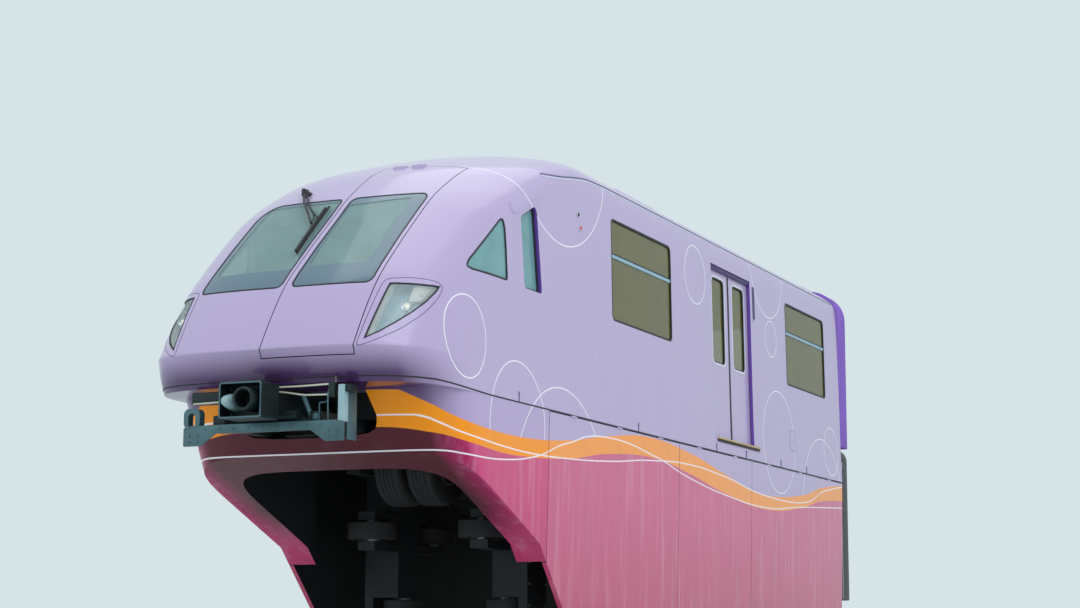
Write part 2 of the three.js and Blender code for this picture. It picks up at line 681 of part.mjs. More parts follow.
// Half of the bellows with its folds, and the black lower gangway piece.
function bellows() {
  const front = REAR_Y + SEAT_GAP;
  const steps = 2 * BELLOWS_FOLDS;
  const rings = Array.from({ length: steps + 1 }, (_, i) => {
    const fold = i % 2 ? 0 : BELLOWS.depth;
    const y = front * (1 - i / steps);
    const half = BELLOWS.half - fold;
    const corners = [5, 5, BELLOWS.radius, BELLOWS.radius];
    const outline = rounded(-half, half, BELLOWS.bottom, BELLOWS.top - fold, corners);
    return outline.map(([x, z]) => [x, y, z]);
  });
  return cut(loft(rings), box(-BELLOWS_HOLLOW.half, BELLOWS_HOLLOW.half, -FAR, FAR, 0, BELLOWS_HOLLOW.top));
}
put("gangway_bellows", bellows(), paint.bellows);
const { half: apronHalf, innerHalf: tieHalf } = APRON;
const apron = cut(
  box(-apronHalf, apronHalf, REAR_Y + SEAT_GAP, GANGWAY.end, APRON.bottom, BELLOWS.bottom - 5),
  box(-tieHalf, tieHalf, -FAR, FAR, -FAR, APRON.tieBottom),
  box(-tieHalf, tieHalf, -FAR, FAR, APRON.tieTop, FAR),
);
put("gangway_apron", apron, paint.rubber);

// Coupler: a bumper beam with posts and drooped ends, and the coupler head on its shank.
const gearSeat = HEADSTOCK_Y - SEAT_GAP;
const arms = [-1, 1].map((s) => {
  const { rear, armIn, armOut, armBottom, armTop } = COUPLER_BEAM;
  return box(...sideOf(s, armIn, armOut), rear - 10, gearSeat, armBottom, armTop);
});
const bumper = prism("y", COUPLER_OUTLINE, COUPLER_BEAM.front, COUPLER_BEAM.rear);
put("coupler_beam", join(bumper, ...arms), paint.steel);
const shank = box(-SHANK.half, SHANK.half, SHANK.front, gearSeat, SHANK.z0, SHANK.z1);
const head = box(-HEAD.half, HEAD.half, HEAD.front, HEAD.rear, HEAD.z0, HEAD.z1);
const funnel = rod("y", FUNNEL.r, FUNNEL.front, HEAD.front + 10, [FUNNEL.x, FUNNEL.z], 20);
put("coupler_head", join(shank, head, funnel), paint.steel);

// Cab and saloon fittings.
const partitionLimits = {
  y: [PARTITION.front, PARTITION.rear],
  z: [FLOOR_Z + SEAT_GAP, EAVE_Z - 20],
};
const partition = cut(
  upper(WALL + SEAT_GAP).intersect(range(partitionLimits)),
  box(-PARTITION.doorHalf, PARTITION.doorHalf, -FAR, FAR, 0, PARTITION.doorTop),
);
put("cab_partition", partition, paint.trim);
const desk = cut(
  upper(2.2 * SHELL).intersect(
    box(DESK.x0, DESK.x1, DESK.front, DESK.rear, FLOOR_Z + SEAT_GAP, DESK.top),
  ),
  box(DESK_HOLLOW.x0, DESK_HOLLOW.x1, DESK_HOLLOW.front, FAR, 0, DESK_HOLLOW.top),
);
put("cab_desk", desk, paint.chassis);
for (const side of ["left", "right"]) {
  const outline = side === "left" ? BENCH : mirrorX(BENCH);
  for (const w of WINDOWS) {
    const bench = prism("y", outline, w.y0 + BENCH_END_GAP, w.y1 - BENCH_END_GAP);
    put(`bench_${side}_${w.name}`, bench, paint.seat);
  }
}

// Bogies. Everything in a bogie is drawn about its own pivot.
function pinHole(x, y, { z0, z1 }) {
  return bore("z", PIN_R, z0 - PIN_REACH - 5, z1 + PIN_REACH + 5, [x, y], 12);
}

function bogieFrame() {
  const { half: armHalf, outer: armOuter, thick } = ARM;
  const { half: rigHalf, outer: rigOuter, legInner } = OUTRIGGER;
  const sides = [-1, 1].map((s) => {
    const beamSpan = sideOf(s, FRAME_INNER, SIDE_BEAM.outer);
    const armSpan = sideOf(s, legInner, armOuter);
    const side = join(
      box(...beamSpan, -SIDE_BEAM.half, SIDE_BEAM.half, SIDE_BEAM.z0, SIDE_BEAM.z1),
      box(...sideOf(s, FRAME_INNER, rigOuter), -rigHalf, rigHalf, OUTRIGGER.z0, SIDE_BEAM.z1),
      box(...sideOf(s, legInner, rigOuter), -rigHalf, rigHalf, FOOT_Z, OUTRIGGER.legTop),
      box(...armSpan, -armHalf, armHalf, GUIDE.z1 + ARM_GAP, GUIDE.z1 + ARM_GAP + thick),
      box(...armSpan, -armHalf, armHalf, GUIDE.z0 - ARM_GAP - thick, GUIDE.z0 - ARM_GAP),
    );
    const notch = sideOf(s, STABLE_NOTCH.inner, STABLE_NOTCH.outer);
    const [notchBottom, notchTop] = [STABLE.z0 - ARM_GAP, STABLE.z1 + ARM_GAP];
    return cut(
      side,
      box(...notch, -STABLE_NOTCH.half, STABLE_NOTCH.half, notchBottom, notchTop),
      ...[-AXLE_OFFSET, AXLE_OFFSET].map((y) => bore("x", AXLE_R, -FAR, FAR, [y, WHEEL_R])),
      ...[-GUIDE.y, GUIDE.y].map((y) => pinHole(s * (BEAM_HALF + GUIDE.r + 1), y, GUIDE)),
      pinHole(s * (BEAM_HALF + STABLE.r + 1), 0, STABLE),
    );
  });
  const { half, length, z0: bottom } = TRANSOM;
  return join(
    box(-half, half, -length / 2, length / 2, bottom, SIDE_BEAM.z1),
    rod("z", PIVOT.r, PIVOT.bottom, PIVOT.top, [0, 0], 24),
    rod("z", PIVOT.pin, PIVOT.top - 10, PIVOT.pinTop, [0, 0]),
    ...sides,
  );
}

// A lathe profile as radius and place along the axis.
function turned(profile, steps) {
  const points = profile.map(([radius, along]) => new THREE.Vector2(radius, along));
  return new THREE.LatheGeometry(points, steps);
}

function wheelset() {
  const tyres = [-1, 1].map((s) => {
    const { inner, outer, shoulder, chamfer, rim, dish } = TYRE;
    const profile = [
      [0, inner],
      [WHEEL_R - chamfer, inner],
      [WHEEL_R, inner + shoulder],
      [WHEEL_R, outer - shoulder],
      [WHEEL_R - chamfer, outer],
      [rim, outer],
      [rim - 10, outer - dish],
      [0, outer - dish],
    ];
    const geometry = turned(profile, 24);
    return solid(geometry.rotateZ(s > 0 ? -Math.PI / 2 : Math.PI / 2));
  });
  const axle = rod("x", AXLE_R, -AXLE_END, AXLE_END, [0, 0]);
  const collar = rod("x", AXLE_COLLAR_R, SEAT_GAP - FRAME_INNER, FRAME_INNER - SEAT_GAP, [0, 0]);
  return join(axle, collar, ...tyres);
}

function sideWheel({ r, z0, z1 }) {
  const middle = (z0 + z1) / 2;
  const half = (z1 - z0) / 2;
  const hub = ARM_GAP - SEAT_GAP;
  const profile = [
    [0, -half - PIN_REACH],
    [PIN_R, -half - PIN_REACH],
    [PIN_R, -half - hub],
    [HUB_R, -half - hub],
    [HUB_R, -half],
    [r, -half],
    [r, half],
    [HUB_R, half],
    [HUB_R, half + hub],
    [PIN_R, half + hub],
    [PIN_R, half + PIN_REACH],
    [0, half + PIN_REACH],
  ];
  return { made: solid(turned(profile, 12).rotateX(Math.PI / 2)), middle };
}

for (const { name, y } of BOGIES) {
  const bogie = new THREE.Group();
  bogie.position.set(0, y, 0);
  bogie.add(mesh(`bogie_${name}`, bogieFrame(), paint.chassis));
  ["lead", "trail"].forEach((place, i) => {
    const along = i ? 1 : -1;
    const axle = mesh(`wheelset_${name}_${place}`, wheelset(), paint.rubber);
    axle.position.set(0, along * AXLE_OFFSET, WHEEL_R);
    bogie.add(axle);
    for (const s of [-1, 1]) {
      const { made, middle } = sideWheel(GUIDE);
      const wheel = mesh(`guide_wheel_${name}_${place}_${s > 0 ? "left" : "right"}`, made, paint.rubber);
      wheel.position.set(s * (BEAM_HALF + GUIDE.r + 1), along * GUIDE.y, middle);
      bogie.add(wheel);
    }
  });
  for (const s of [-1, 1]) {
    const { made, middle } = sideWheel(STABLE);
    const wheel = mesh(`stable_wheel_${name}_${s > 0 ? "left" : "right"}`, made, paint.rubber);
    wheel.position.set(s * (BEAM_HALF + STABLE.r + 1), 0, middle);
    bogie.add(wheel);
  }
  car.add(bogie);
}

car.position.set(0, 6465, -FOOT_Z);
const root = new THREE.Group();
root.add(car);
export default root;
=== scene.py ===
import math
from collections import namedtuple

import bmesh
import bpy
import numpy as np
from bpy.props import FloatProperty, FloatVectorProperty, PointerProperty
from mathutils import Matrix, Vector


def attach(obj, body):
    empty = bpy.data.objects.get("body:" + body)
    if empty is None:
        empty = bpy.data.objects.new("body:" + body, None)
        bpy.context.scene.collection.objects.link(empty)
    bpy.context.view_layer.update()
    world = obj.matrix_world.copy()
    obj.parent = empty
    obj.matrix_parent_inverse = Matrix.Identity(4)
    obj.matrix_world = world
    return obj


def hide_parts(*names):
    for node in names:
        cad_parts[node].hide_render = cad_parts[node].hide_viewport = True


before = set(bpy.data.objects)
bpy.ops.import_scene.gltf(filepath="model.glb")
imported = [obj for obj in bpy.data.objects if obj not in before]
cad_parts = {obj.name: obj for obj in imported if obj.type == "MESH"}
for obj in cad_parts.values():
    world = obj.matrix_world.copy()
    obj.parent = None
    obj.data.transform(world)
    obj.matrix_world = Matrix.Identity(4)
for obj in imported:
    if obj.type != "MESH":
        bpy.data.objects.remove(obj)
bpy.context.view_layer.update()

bl_info = {
    "name": "Monorail lead car",
    "version": (1, 0, 0),
    "blender": (4, 5, 0),
    "location": "View3D > Sidebar > Monorail",
    "description": "Dresses the lead car of a small straddle monorail on its CAD frame",
    "category": "Add Mesh",
}

# Metres in rail axes: z is the height above the beam, y runs back from the nose towards nought at the
# gangway, and x points to the car's left. RAIL is where the rail axes' origin lies in the frame of the
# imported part.
RAIL = np.array((0.0, 6.465, 1.25))

SKIRT_Z = -1.15  # lower edge of the skirts
BELT_Z = 0.83  # gap between the skirts and the body
BELLY_Z = 0.93  # top of the nose shell's own floor
FLOOR_Z = 1.01
EAVE_Z = 3.15  # seam between the walls and the roof
CROWN_Z = 3.45
REAR_Y = -0.37
NOSE_SEAM_Y = -9.85
SEAT_GAP = 0.0003
MOVE_GAP = 0.008
WALL = 0.11
SHELL = 0.08
SKIRT = 0.045
VALANCE_FRONT = 0.175
VALANCE_SIDE = 0.29
FRONT_INSET = 1.2  # inset of the raked front for each unit of thickness
INSET_FROM_Z = 2.7  # above this height an inset also lowers the surface
FAR = 20.0
UPRIGHT = (0.0, 0.0, 1.0)

# Plan outline of the body at each height as rows of height, half width, front end, start of the straight
# sides and the exponent of the superellipse between them.
BODY_LEVELS = (
    (0.83, 1.362, -12.42, -10.90, 4.6),
    (0.96, 1.358, -12.53, -10.95, 4.3),
    (1.08, 1.3535, -12.578, -10.99, 4.22),
    (1.11, 1.352, -12.59, -11.00, 4.2),
    (1.135, 1.3515, -12.575, -10.993, 4.18),
    (1.30, 1.348, -12.48, -10.95, 4.1),
    (1.67, 1.341, -12.23, -10.80, 4.0),
    (2.04, 1.335, -11.86, -10.50, 4.1),
    (2.41, 1.329, -11.45, -10.20, 4.0),
    (2.60, 1.326, -11.24, -9.98, 3.6),
    (2.78, 1.322, -11.00, -9.80, 3.0),
    (2.94, 1.317, -10.75, -9.60, 2.6),
    (3.08, 1.308, -10.43, -9.35, 2.4),
    (3.19, 1.286, -10.10, -9.05, 2.3),
    (3.28, 1.210, -9.82, -8.85, 2.2),
    (3.35, 1.050, -9.57, -8.70, 2.1),
    (3.41, 0.760, -9.29, -8.60, 2.0),
    (3.445, 0.370, -8.98, -8.50, 2.0),
    (3.45, 0.150, -8.90, -8.50, 2.0),
)
SKIRT_LEVELS = (
    (-1.15, 1.318, -10.79, -9.85, 5.0),
    (0.21, 1.352, -11.60, -10.80, 5.0),
    (0.83, 1.362, -11.97, -10.90, 5.0),
)
SUBLEVELS = 8  # rings drawn between two levels
NOSE_STEPS = 48  # points of a ring from the centreline to the straight side
SIDE_STEPS = 6

WINDOWS = {"front": (-8.29, -6.62), "rear": (-2.65, -0.99)}
WINDOW_Z = (1.88, 2.91)
WINDOW_RADIUS = 0.07
WINDOW_BAR_Z = 2.53
DOOR_Y = (-5.35, -3.99)
DOOR_TOP_Z = 2.955
LEAF_DEPTH = (0.043, 0.075)
LEAF_GAP = 0.008
POCKET_SKIN = 0.035
LEAF_WINDOW = {"half": 0.21, "z0": 1.85, "z1": 2.83, "radius": 0.07}
CAB_DOOR_Y = (-10.40, -9.90)
CAB_DOOR_TOP_Z = 2.68
CAB_WINDOW = ((-10.345, 1.88), (-9.965, 1.88), (-10.062, 2.625), (-10.11, 2.668), (-10.415, 2.518))
QUARTER_WINDOW = (
    (-11.365, 1.877),
    (-10.716, 1.884),
    (-10.697, 1.904),
    (-10.729, 2.382),
    (-10.754, 2.441),
    (-10.814, 2.42),
    (-11.395, 1.963),
    (-11.443, 1.898),
)
FRONT_DOOR = {"x0": -0.004, "x1": 0.845, "z0": 1.03, "y1": -10.50}
FRONT_DOOR_AXIS = (-10.504, 3.052)
FRONT_DOOR_BARRELS = ((0.11, 0.23), (0.30, 0.42))
CAB_DOOR_AXIS = (-1.245, -9.904)
CAB_DOOR_BARRELS = ((1.15, 1.27), (2.40, 2.52))
SCREENS = {
    "windscreen_right": {"box": (-0.88, -0.03, 1.67, 2.64), "corners": (0.06, 0.06, 0.06, 0.19)},
    "windscreen_left": {"box": (0.05, 0.805, 1.67, 2.64), "corners": (0.06, 0.06, 0.09, 0.06)},
}
# Corners of the clear glass inside each windscreen's painted border.
FRIT = {
    "windscreen_right": ((-0.81, 1.855), (-0.05, 1.864), (-0.06, 2.60), (-0.80, 2.60)),
    "windscreen_left": ((0.107, 1.881), (0.67, 1.89), (0.656, 2.586), (0.076, 2.551)),
}
HEADLIGHT = (
    (0.905, 1.155),
    (1.015, 1.228),
    (1.10, 1.315),
    (1.165, 1.405),
    (1.215, 1.505),
    (1.243, 1.61),
    (1.25, 1.668),
    (0.945, 1.67),
)
# Line round the headlight where its bezel meets the nose.
BEZEL = (
    (0.862, 1.095),
    (0.93, 1.115),
    (1.03, 1.172),
    (1.135, 1.255),
    (1.225, 1.405),
    (1.262, 1.57),
    (1.258, 1.70),
    (1.12, 1.722),
    (0.895, 1.708),
)
# Lower edge of the nose and the foremost skirts as (y, z).
SLANT = ((-14.0, 1.309), (-10.0, -0.371), (-9.2, -1.2))
# Left half of the recess round the coupler as (x, z), from the bottom upwards.
RECESS = ((0.34, 0.458), (0.56, 0.478), (0.64, 0.512), (0.668, 0.565), (0.68, 0.62), (0.622, 0.90))
SKIRT_SEAMS = (NOSE_SEAM_Y, -6.50, -4.11, REAR_Y)
SKIRT_AXIS = (1.362, 0.826)
BARREL_R = 0.010
BARREL_PITCH = 1.1
BARREL_HALF = 0.06
COVERS = ((-7.26, -6.24), (-0.73, REAR_Y))
COVER_EDGE = 0.012
COVER_SECTION = (
    (-1.03, 3.25),
    (1.03, 3.25),
    (1.00, 3.42),
    (0.93, 3.455),
    (0.60, 3.50),
    (-0.60, 3.50),
    (-0.93, 3.455),
    (-1.00, 3.42),
)
GANGWAY = {"half": 0.62, "top": 2.96, "plate_half": 0.6, "plate_rear": -0.005, "plate": 0.06}
BELLOWS = {
    "half": 1.334, "bottom": 1.311, "top": 3.419, "radius": 0.38, "thick": 0.26, "folds": 4, "depth": 0.025
}
BELLOWS_FOOT = {"half": 1.01, "top": 1.7}  # what is cut out between the bellows' two feet
APRON = {"inner": 1.132, "outer": 1.328, "bottom": -0.698, "top": 1.303, "head": 0.16, "tie": (0.792, 0.933)}
SILL = {"y": (-5.28, -3.82), "inner": 1.30, "outer": 1.380, "bottom": 0.958, "middle": 0.985, "top": 1.006}
SEAL_RISE = 0.035  # of the belt seal round the front
BOGIES = {"front": -9.0, "rear": -2.3}
BOGIE_STEP = 0.75  # from the bogie's middle to each axle
WHEEL_R = 0.39
GUIDE_WHEEL = {"x": 0.581, "step": 0.6, "z": -0.21, "radius": 0.23, "half": 0.08}
STABLE_WHEEL = {"x": 0.551, "z": -0.915, "radius": 0.20, "half": 0.07}
TREAD = {"low": 0.07, "high": 0.265, "grooves": (0.108, 0.148, 0.188, 0.228), "depth": 0.009, "width": 0.007}
TREAD_CROWN = 0.35  # fall of the tread's radius for each square metre across from its middle
BUMPER_Y = {"face": -12.519, "back": -12.500, "flange": -12.515, "inner": -12.442}
HEADSTOCK_Y = -11.482
HOOD = {"half": 0.199, "bottom": 0.521, "top": 0.814, "wall": 0.014, "front": -12.858, "rear": -12.592}
CUP = (0.06, -12.86, 0.67)
CONE = (-0.115, -12.86, 0.66)

# Turns in radians from a level view along the car, and the eye's place in the part's frame.
CAMERA = {"yaw": 0.425336, "pitch": 0.161521, "roll": 0.004041, "eye": (8.8916, -20.2230, 0.05)}
PALE_SKY = (214, 228, 232)

# Heights of the painted waves along the side: edges of the orange band and the two thin lines.
WAVE_COLUMNS = ("y", "top", "bottom", "line_a", "line_b")
WAVES = (
    (-12.2, 0.822, 0.53, 0.622, 0.33),
    (-11.96, 0.82, 0.53, 0.622, 0.33),
    (-11.88, 0.765, 0.53, 0.62, 0.33),
    (-11.80, 0.712, 0.53, 0.615, 0.33),
    (-11.72, 0.665, 0.487, 0.577, 0.33),
    (-11.63, 0.623, 0.462, 0.53, 0.335),
    (-11.43, 0.577, 0.415, 0.474, 0.312),
    (-11.13, 0.549, 0.385, 0.445, 0.30),
    (-10.78, 0.536, 0.366, 0.425, 0.313),
    (-10.25, 0.54, 0.375, 0.411, 0.37),
    (-9.4, 0.60, 0.43, 0.43, 0.575),
    (-8.4, 0.73, 0.555, 0.485, 0.71),
    (-7.3, 0.81, 0.61, 0.58, 0.64),
    (-6.2, 0.75, 0.53, 0.625, 0.485),
    (-5.0, 0.60, 0.39, 0.575, 0.375),
    (-3.6, 0.47, 0.30, 0.46, 0.32),
    (-2.3, 0.54, 0.385, 0.455, 0.40),
    (-1.2, 0.72, 0.545, 0.67, 0.46),
    (-0.4, 0.79, 0.59, 0.775, 0.50),
)
WAVE_LENGTH = 12.4
# Painted ring outlines on the sides, each drawn only above the band and further out than its inner limit.
RING_COLUMNS = ("y", "z", "radius", "inner")
RINGS = (
    (-11.50, 1.29, 0.353, 0.9),
    (-10.51, 0.63, 0.567, 0.9),
    (-9.56, 0.05, 1.016, 0.9),
    (-9.48, 3.53, 1.109, 0.75),
    (-5.87, 2.73, 0.323, 0.9),
    (-3.32, 3.23, 0.61, 0.9),
    (-3.24, 2.37, 0.217, 0.9),
    (-3.03, 1.14, 0.615, 0.9),
    (-1.25, 0.47, 0.862, 0.9),
    (-0.83, 1.21, 0.308, 0.9),
)

Form = namedtuple("Form", "points faces finish")


def named(columns, row):
    return dict(zip(columns, row))


def tint(red, green, blue):
    """Linear colour of a screen colour: each channel over 255 goes through the sRGB curve."""
    channel = np.array((red, green, blue)) / 255.0
    linear = np.where(channel <= 0.04045, channel / 12.92, ((channel + 0.055) / 1.055) ** 2.4)
    return (*(float(value) for value in linear), 1.0)


def monotone(knots, values, places):
    """Cubic through the knots that never overshoots. A knot's slope is the weighted harmonic mean of the
    chords on both sides where they run the same way, and nought where they don't."""
    knots = np.asarray(knots, float)
    values = np.asarray(values, float).reshape(len(knots), -1)
    width = np.diff(knots)[:, None]
    chord = np.diff(values, axis=0) / width
    slope = np.zeros_like(values)
    slope[0] = chord[0]
    slope[-1] = chord[-1]
    before, after = chord[:-1], chord[1:]
    weight_a = 2 * width[1:] + width[:-1]
    weight_b = width[1:] + 2 * width[:-1]
    same = before * after > 0
    safe_before = np.where(same, before, 1.0)
    safe_after = np.where(same, after, 1.0)
    slope[1:-1] = np.where(
        same, (weight_a + weight_b) / (weight_a / safe_before + weight_b / safe_after), 0.0
    )
    index = np.clip(np.searchsorted(knots, places, "right") - 1, 0, len(knots) - 2)
    step = width[index]
    part = ((places - knots[index])[:, None]) / step
    return (
        values[index] * (2 * part**3 - 3 * part**2 + 1)
        + slope[index] * step * (part**3 - 2 * part**2 + part)
        + values[index + 1] * (3 * part**2 - 2 * part**3)
        + slope[index + 1] * step * (part**3 - part**2)
    )


class Skin:
    """The outer surface of the body or of the skirts: a stack of plan outlines, each half a superellipse at
    the nose that runs on as straight sides. Every column of the levels is a monotone cubic over the level's
    number."""

    def __init__(self, levels):
        count = len(levels)
        places = np.linspace(0, count - 1, SUBLEVELS * (count - 1) + 1)
        fine = np.linspace(0, count - 1, 60 * (count - 1) + 1)
        self.coarse = monotone(np.arange(count), levels, places)
        self.fine = monotone(np.arange(count), levels, fine)

    def plan(self, z, inset):
        """Half width, front, side and power at heights of the outer surface, moved in by the inset."""
        half, front, side, power = (np.interp(z, self.fine[:, 0], self.fine[:, i]) for i in (1, 2, 3, 4))
        return half - inset, front + FRONT_INSET * inset, side, power

    def outer_height(self, z, inset):
        """Height of the outer surface's level that an inset lowers to z."""
        span = CROWN_Z - INSET_FROM_Z
        raised = (z - inset * INSET_FROM_Z / span) / (1 - inset / span)
        return np.where(z > INSET_FROM_Z, raised, z)

    def front_y(self, x, z, inset=0.0):
        """Front of the surface: y = side - (side - front) (1 - |x / half|^power)^(1 / power)."""
        half, front, side, power = self.plan(self.outer_height(z, inset), inset)
        across = np.clip(np.abs(x) / half, 0, 1)
        return side - (side - front) * (1 - across**power) ** (1 / power)

    def side_x(self, y, z, inset=0.0):
        """Side of the surface: x = half (1 - |(side - y) / (side - front)|^power)^(1 / power)."""
        half, front, side, power = self.plan(self.outer_height(z, inset), inset)
        along = np.clip((side - y) / (side - front), 0, 1)
        return half * (1 - along**power) ** (1 / power)

    def rings(self, inset, floor=None):
        """Closed plan rings from the lowest level to the highest. A point of the nose lies at the angle a
        from the centreline, at the reach ((sin a / half)^power + (cos a / length)^power)^(-1 / power)."""
        z = self.coarse[:, 0]
        if floor is not None:
            z = np.concatenate(([floor], z[z > BODY_LEVELS[1][0]]))
        shape_z = np.maximum(z, BODY_LEVELS[1][0]) if floor is not None else z
        half, front, side, power = (value[:, None] for value in self.plan(shape_z, inset))
        lowered = z - inset * np.maximum(0, (z - INSET_FROM_Z) / (CROWN_Z - INSET_FROM_Z))
        if floor is None:
            lowered[0] -= inset
        angle = np.linspace(0, math.pi / 2, NOSE_STEPS + 1)[None, :]
        sine, cosine = np.sin(angle), np.cos(angle).clip(0)
        length = side - front
        reach = ((sine / half) ** power + (cosine / length) ** power) ** (-1 / power)
        rear = REAR_Y + inset
        back = np.linspace(0, 1, SIDE_STEPS + 1)[None, 1:]
        right_x = np.concatenate((reach * sine, np.broadcast_to(half, (len(z), SIDE_STEPS))), 1)
        right_y = np.concatenate((side - reach * cosine, side + (rear - side) * back), 1)
        x = np.concatenate((-right_x[:, :0:-1], right_x), 1)
        y = np.concatenate((right_y[:, :0:-1], right_y), 1)
        return np.stack((x, y, np.broadcast_to(lowered[:, None], x.shape)), -1)


UPPER = Skin(BODY_LEVELS)
LOWER = Skin(SKIRT_LEVELS)
# Space inside the valance: its sides are drawn in further than its front.
VALANCE_SPACE = Skin(np.array(SKIRT_LEVELS) - (0, VALANCE_SIDE - VALANCE_FRONT, 0, 0, 0))


def on_front(x, z, inset=0.0):
    return np.stack((x, UPPER.front_y(x, z, inset), z), -1)


def on_left(y, z, inset=0.0):
    return np.stack((UPPER.side_x(y, z, inset), y, z), -1)


def on_right(y, z, inset=0.0):
    return np.stack((-UPPER.side_x(y, z, inset), y, z), -1)


SIDES = {"left": (1, on_left), "right": (-1, on_right)}


# Outlines: arrays of points in a plane, anticlockwise.
def rounded(a0, a1, b0, b1, radii, steps=8):
    """Rectangle with its corners rounded by quarter circles, in order from (a0, b0)."""
    r = np.broadcast_to(np.asarray(radii, float), (4,))[:, None]
    centre_a = np.array((a0, a1, a1, a0))[:, None] + r * np.array((1, -1, -1, 1))[:, None]
    centre_b = np.array((b0, b0, b1, b1))[:, None] + r * np.array((1, 1, -1, -1))[:, None]
    start = np.array((1.0, 1.5, 0.0, 0.5))[:, None] * math.pi
    angle = start + np.linspace(0, math.pi / 2, steps + 1)[None, :]
    return np.stack((centre_a + r * np.cos(angle), centre_b + r * np.sin(angle)), -1).reshape(-1, 2)


def circle(a, b, radius, steps=32):
    angle = np.linspace(0, 2 * math.pi, steps, endpoint=False)
    return np.stack((a + radius * np.cos(angle), b + radius * np.sin(angle)), -1)


def softened(corners, radius, steps=5):
    """Polygon whose corners are rounded: near each corner the outline follows the parabola whose control
    point is the corner, from the radius's distance before it to the same distance after it."""
    corner = np.asarray(corners, float)
    before, after = np.roll(corner, 1, 0) - corner, np.roll(corner, -1, 0) - corner
    reach_a = np.minimum(radius, 0.45 * np.linalg.norm(before, axis=1))[:, None]
    reach_b = np.minimum(radius, 0.45 * np.linalg.norm(after, axis=1))[:, None]
    start = corner + before / np.linalg.norm(before, axis=1)[:, None] * reach_a
    end = corner + after / np.linalg.norm(after, axis=1)[:, None] * reach_b
    t = np.linspace(0, 1, steps + 1)[None, :, None]
    curve = (1 - t) ** 2 * start[:, None] + 2 * t * (1 - t) * corner[:, None] + t**2 * end[:, None]
    return curve.reshape(-1, 2)


def inset_outline(outline, distance):
    """Outline moved inwards: each point goes along the mean of its two sides' normals, lengthened so that
    both sides move by the distance."""
    before = outline - np.roll(outline, 1, 0)
    after = np.roll(outline, -1, 0) - outline
    before = before / np.linalg.norm(before, axis=1)[:, None]
    after = after / np.linalg.norm(after, axis=1)[:, None]
    normal_a = np.stack((-before[:, 1], before[:, 0]), -1)
    normal_b = np.stack((-after[:, 1], after[:, 0]), -1)
    scale = distance / (1 + (normal_a * normal_b).sum(1)).clip(0.3)
    return outline + scale[:, None] * (normal_a + normal_b)


def refined(outline, spacing):
    """Closed outline with its corners kept and points added so that none lie further apart than the
    spacing."""
    closed = np.vstack((outline, outline[:1]))
    length = np.concatenate(([0], np.cumsum(np.linalg.norm(np.diff(closed, axis=0), axis=1))))
    keep = np.concatenate(([True], np.diff(length) > 1e-6))
    closed, length = closed[keep], length[keep]
    even = np.linspace(0, length[-1], max(8, int(length[-1] / spacing)) + 1)
    places = np.union1d(length, even)
    places = places[np.concatenate(([True], np.diff(places) > 1e-5))][:-1]
    return np.stack([np.interp(places, length, closed[:, i]) for i in (0, 1)], -1)


def divided(outline, parts):
    """Closed outline with each of its sides cut into as many equal parts."""
    step = np.arange(parts)[None, :, None] / parts
    following = np.roll(outline, -1, 0)
    return (outline[:, None] * (1 - step) + following[:, None] * step).reshape(-1, 2)


def mirrored(outline):
    return np.asarray(outline)[::-1] * (-1, 1)


# Closed forms.
def grid_quads(rows, cols, wrap_rows=False, wrap_cols=False):
    r = np.arange(rows if wrap_rows else rows - 1)[:, None]
    c = np.arange(cols if wrap_cols else cols - 1)[None, :]
    next_r, next_c = (r + 1) % rows, (c + 1) % cols
    corners = (r * cols + c, r * cols + next_c, next_r * cols + next_c, next_r * cols + c)
    return np.stack(np.broadcast_arrays(*corners), -1).reshape(-1, 4).tolist()


def loft(rings, finish=0, wrap=False):
    """Quads between neighbouring closed rings, and a flat cap on the first and last, or one loop of rings."""
    rings = np.asarray(rings, float)
    count, size = rings.shape[:2]
    faces = grid_quads(count, size, wrap, True)
    if not wrap:
        faces += [list(range(size))[::-1], list(range((count - 1) * size, count * size))]
    return Form(rings.reshape(-1, 3), faces, finish)


def spread(axis, outline, along):
    """Plane points placed in space at a distance along the axis that the outline is square to."""
    a, b = outline[..., 0], outline[..., 1]
    c = np.broadcast_to(along, a.shape)
    return np.stack({"x": (c, a, b), "y": (a, c, b), "z": (a, b, c)}[axis], -1)


def prism(axis, outline, low, high, finish=0):
    outline = np.asarray(outline, float)
    return loft([spread(axis, outline, low), spread(axis, outline, high)], finish)


def box(x0, x1, y0, y1, z0, z1, finish=0):
    return prism("z", np.array(((x0, y0), (x1, y0), (x1, y1), (x0, y1))), z0, z1, finish)


def hollow(axis, outer, inner, low, high, finish=0):
    """Ring between two outlines that have as many points, carried along an axis."""
    rows = [
        spread(axis, outline, along)
        for outline, along in ((outer, low), (outer, high), (inner, high), (inner, low))
    ]
    return loft(rows, finish, wrap=True)


def plate(axis, outline, low, high, edge=0.004, finish=0, steps=3):
    """Outline carried along an axis, with both ends rounded over: near an end the outline draws in along a
    quarter circle of the edge's radius."""
    turn = np.linspace(0, math.pi / 2, steps + 1)
    inset = edge * (1 - np.sin(turn))
    run = edge * (1 - np.cos(turn))
    rows = [spread(axis, inset_outline(outline, i), low + d) for i, d in zip(inset, run)]
    rows += [spread(axis, inset_outline(outline, i), high - d) for i, d in zip(inset[::-1], run[::-1])]
    return loft(rows, finish)


def block(x0, x1, y0, y1, z0, z1, edge=0.006, finish=0):
    return plate("z", rounded(x0, x1, y0, y1, edge, 3), z0, z1, edge * 0.8, finish)


def turned(axis, profile, centre, steps=40, finish=0):
    """Profile of radius and place along the axis, turned about it."""
    profile = np.asarray(profile, float)
    unit = circle(0, 0, 1, steps)
    offset = {"x": (1, 2, 0), "y": (0, 2, 1), "z": (0, 1, 2)}[axis]
    middle = np.array((centre[offset[0]], centre[offset[1]]))
    rows = [spread(axis, middle + radius * unit, centre[offset[2]] + along) for radius, along in profile]
    return loft(rows, finish)


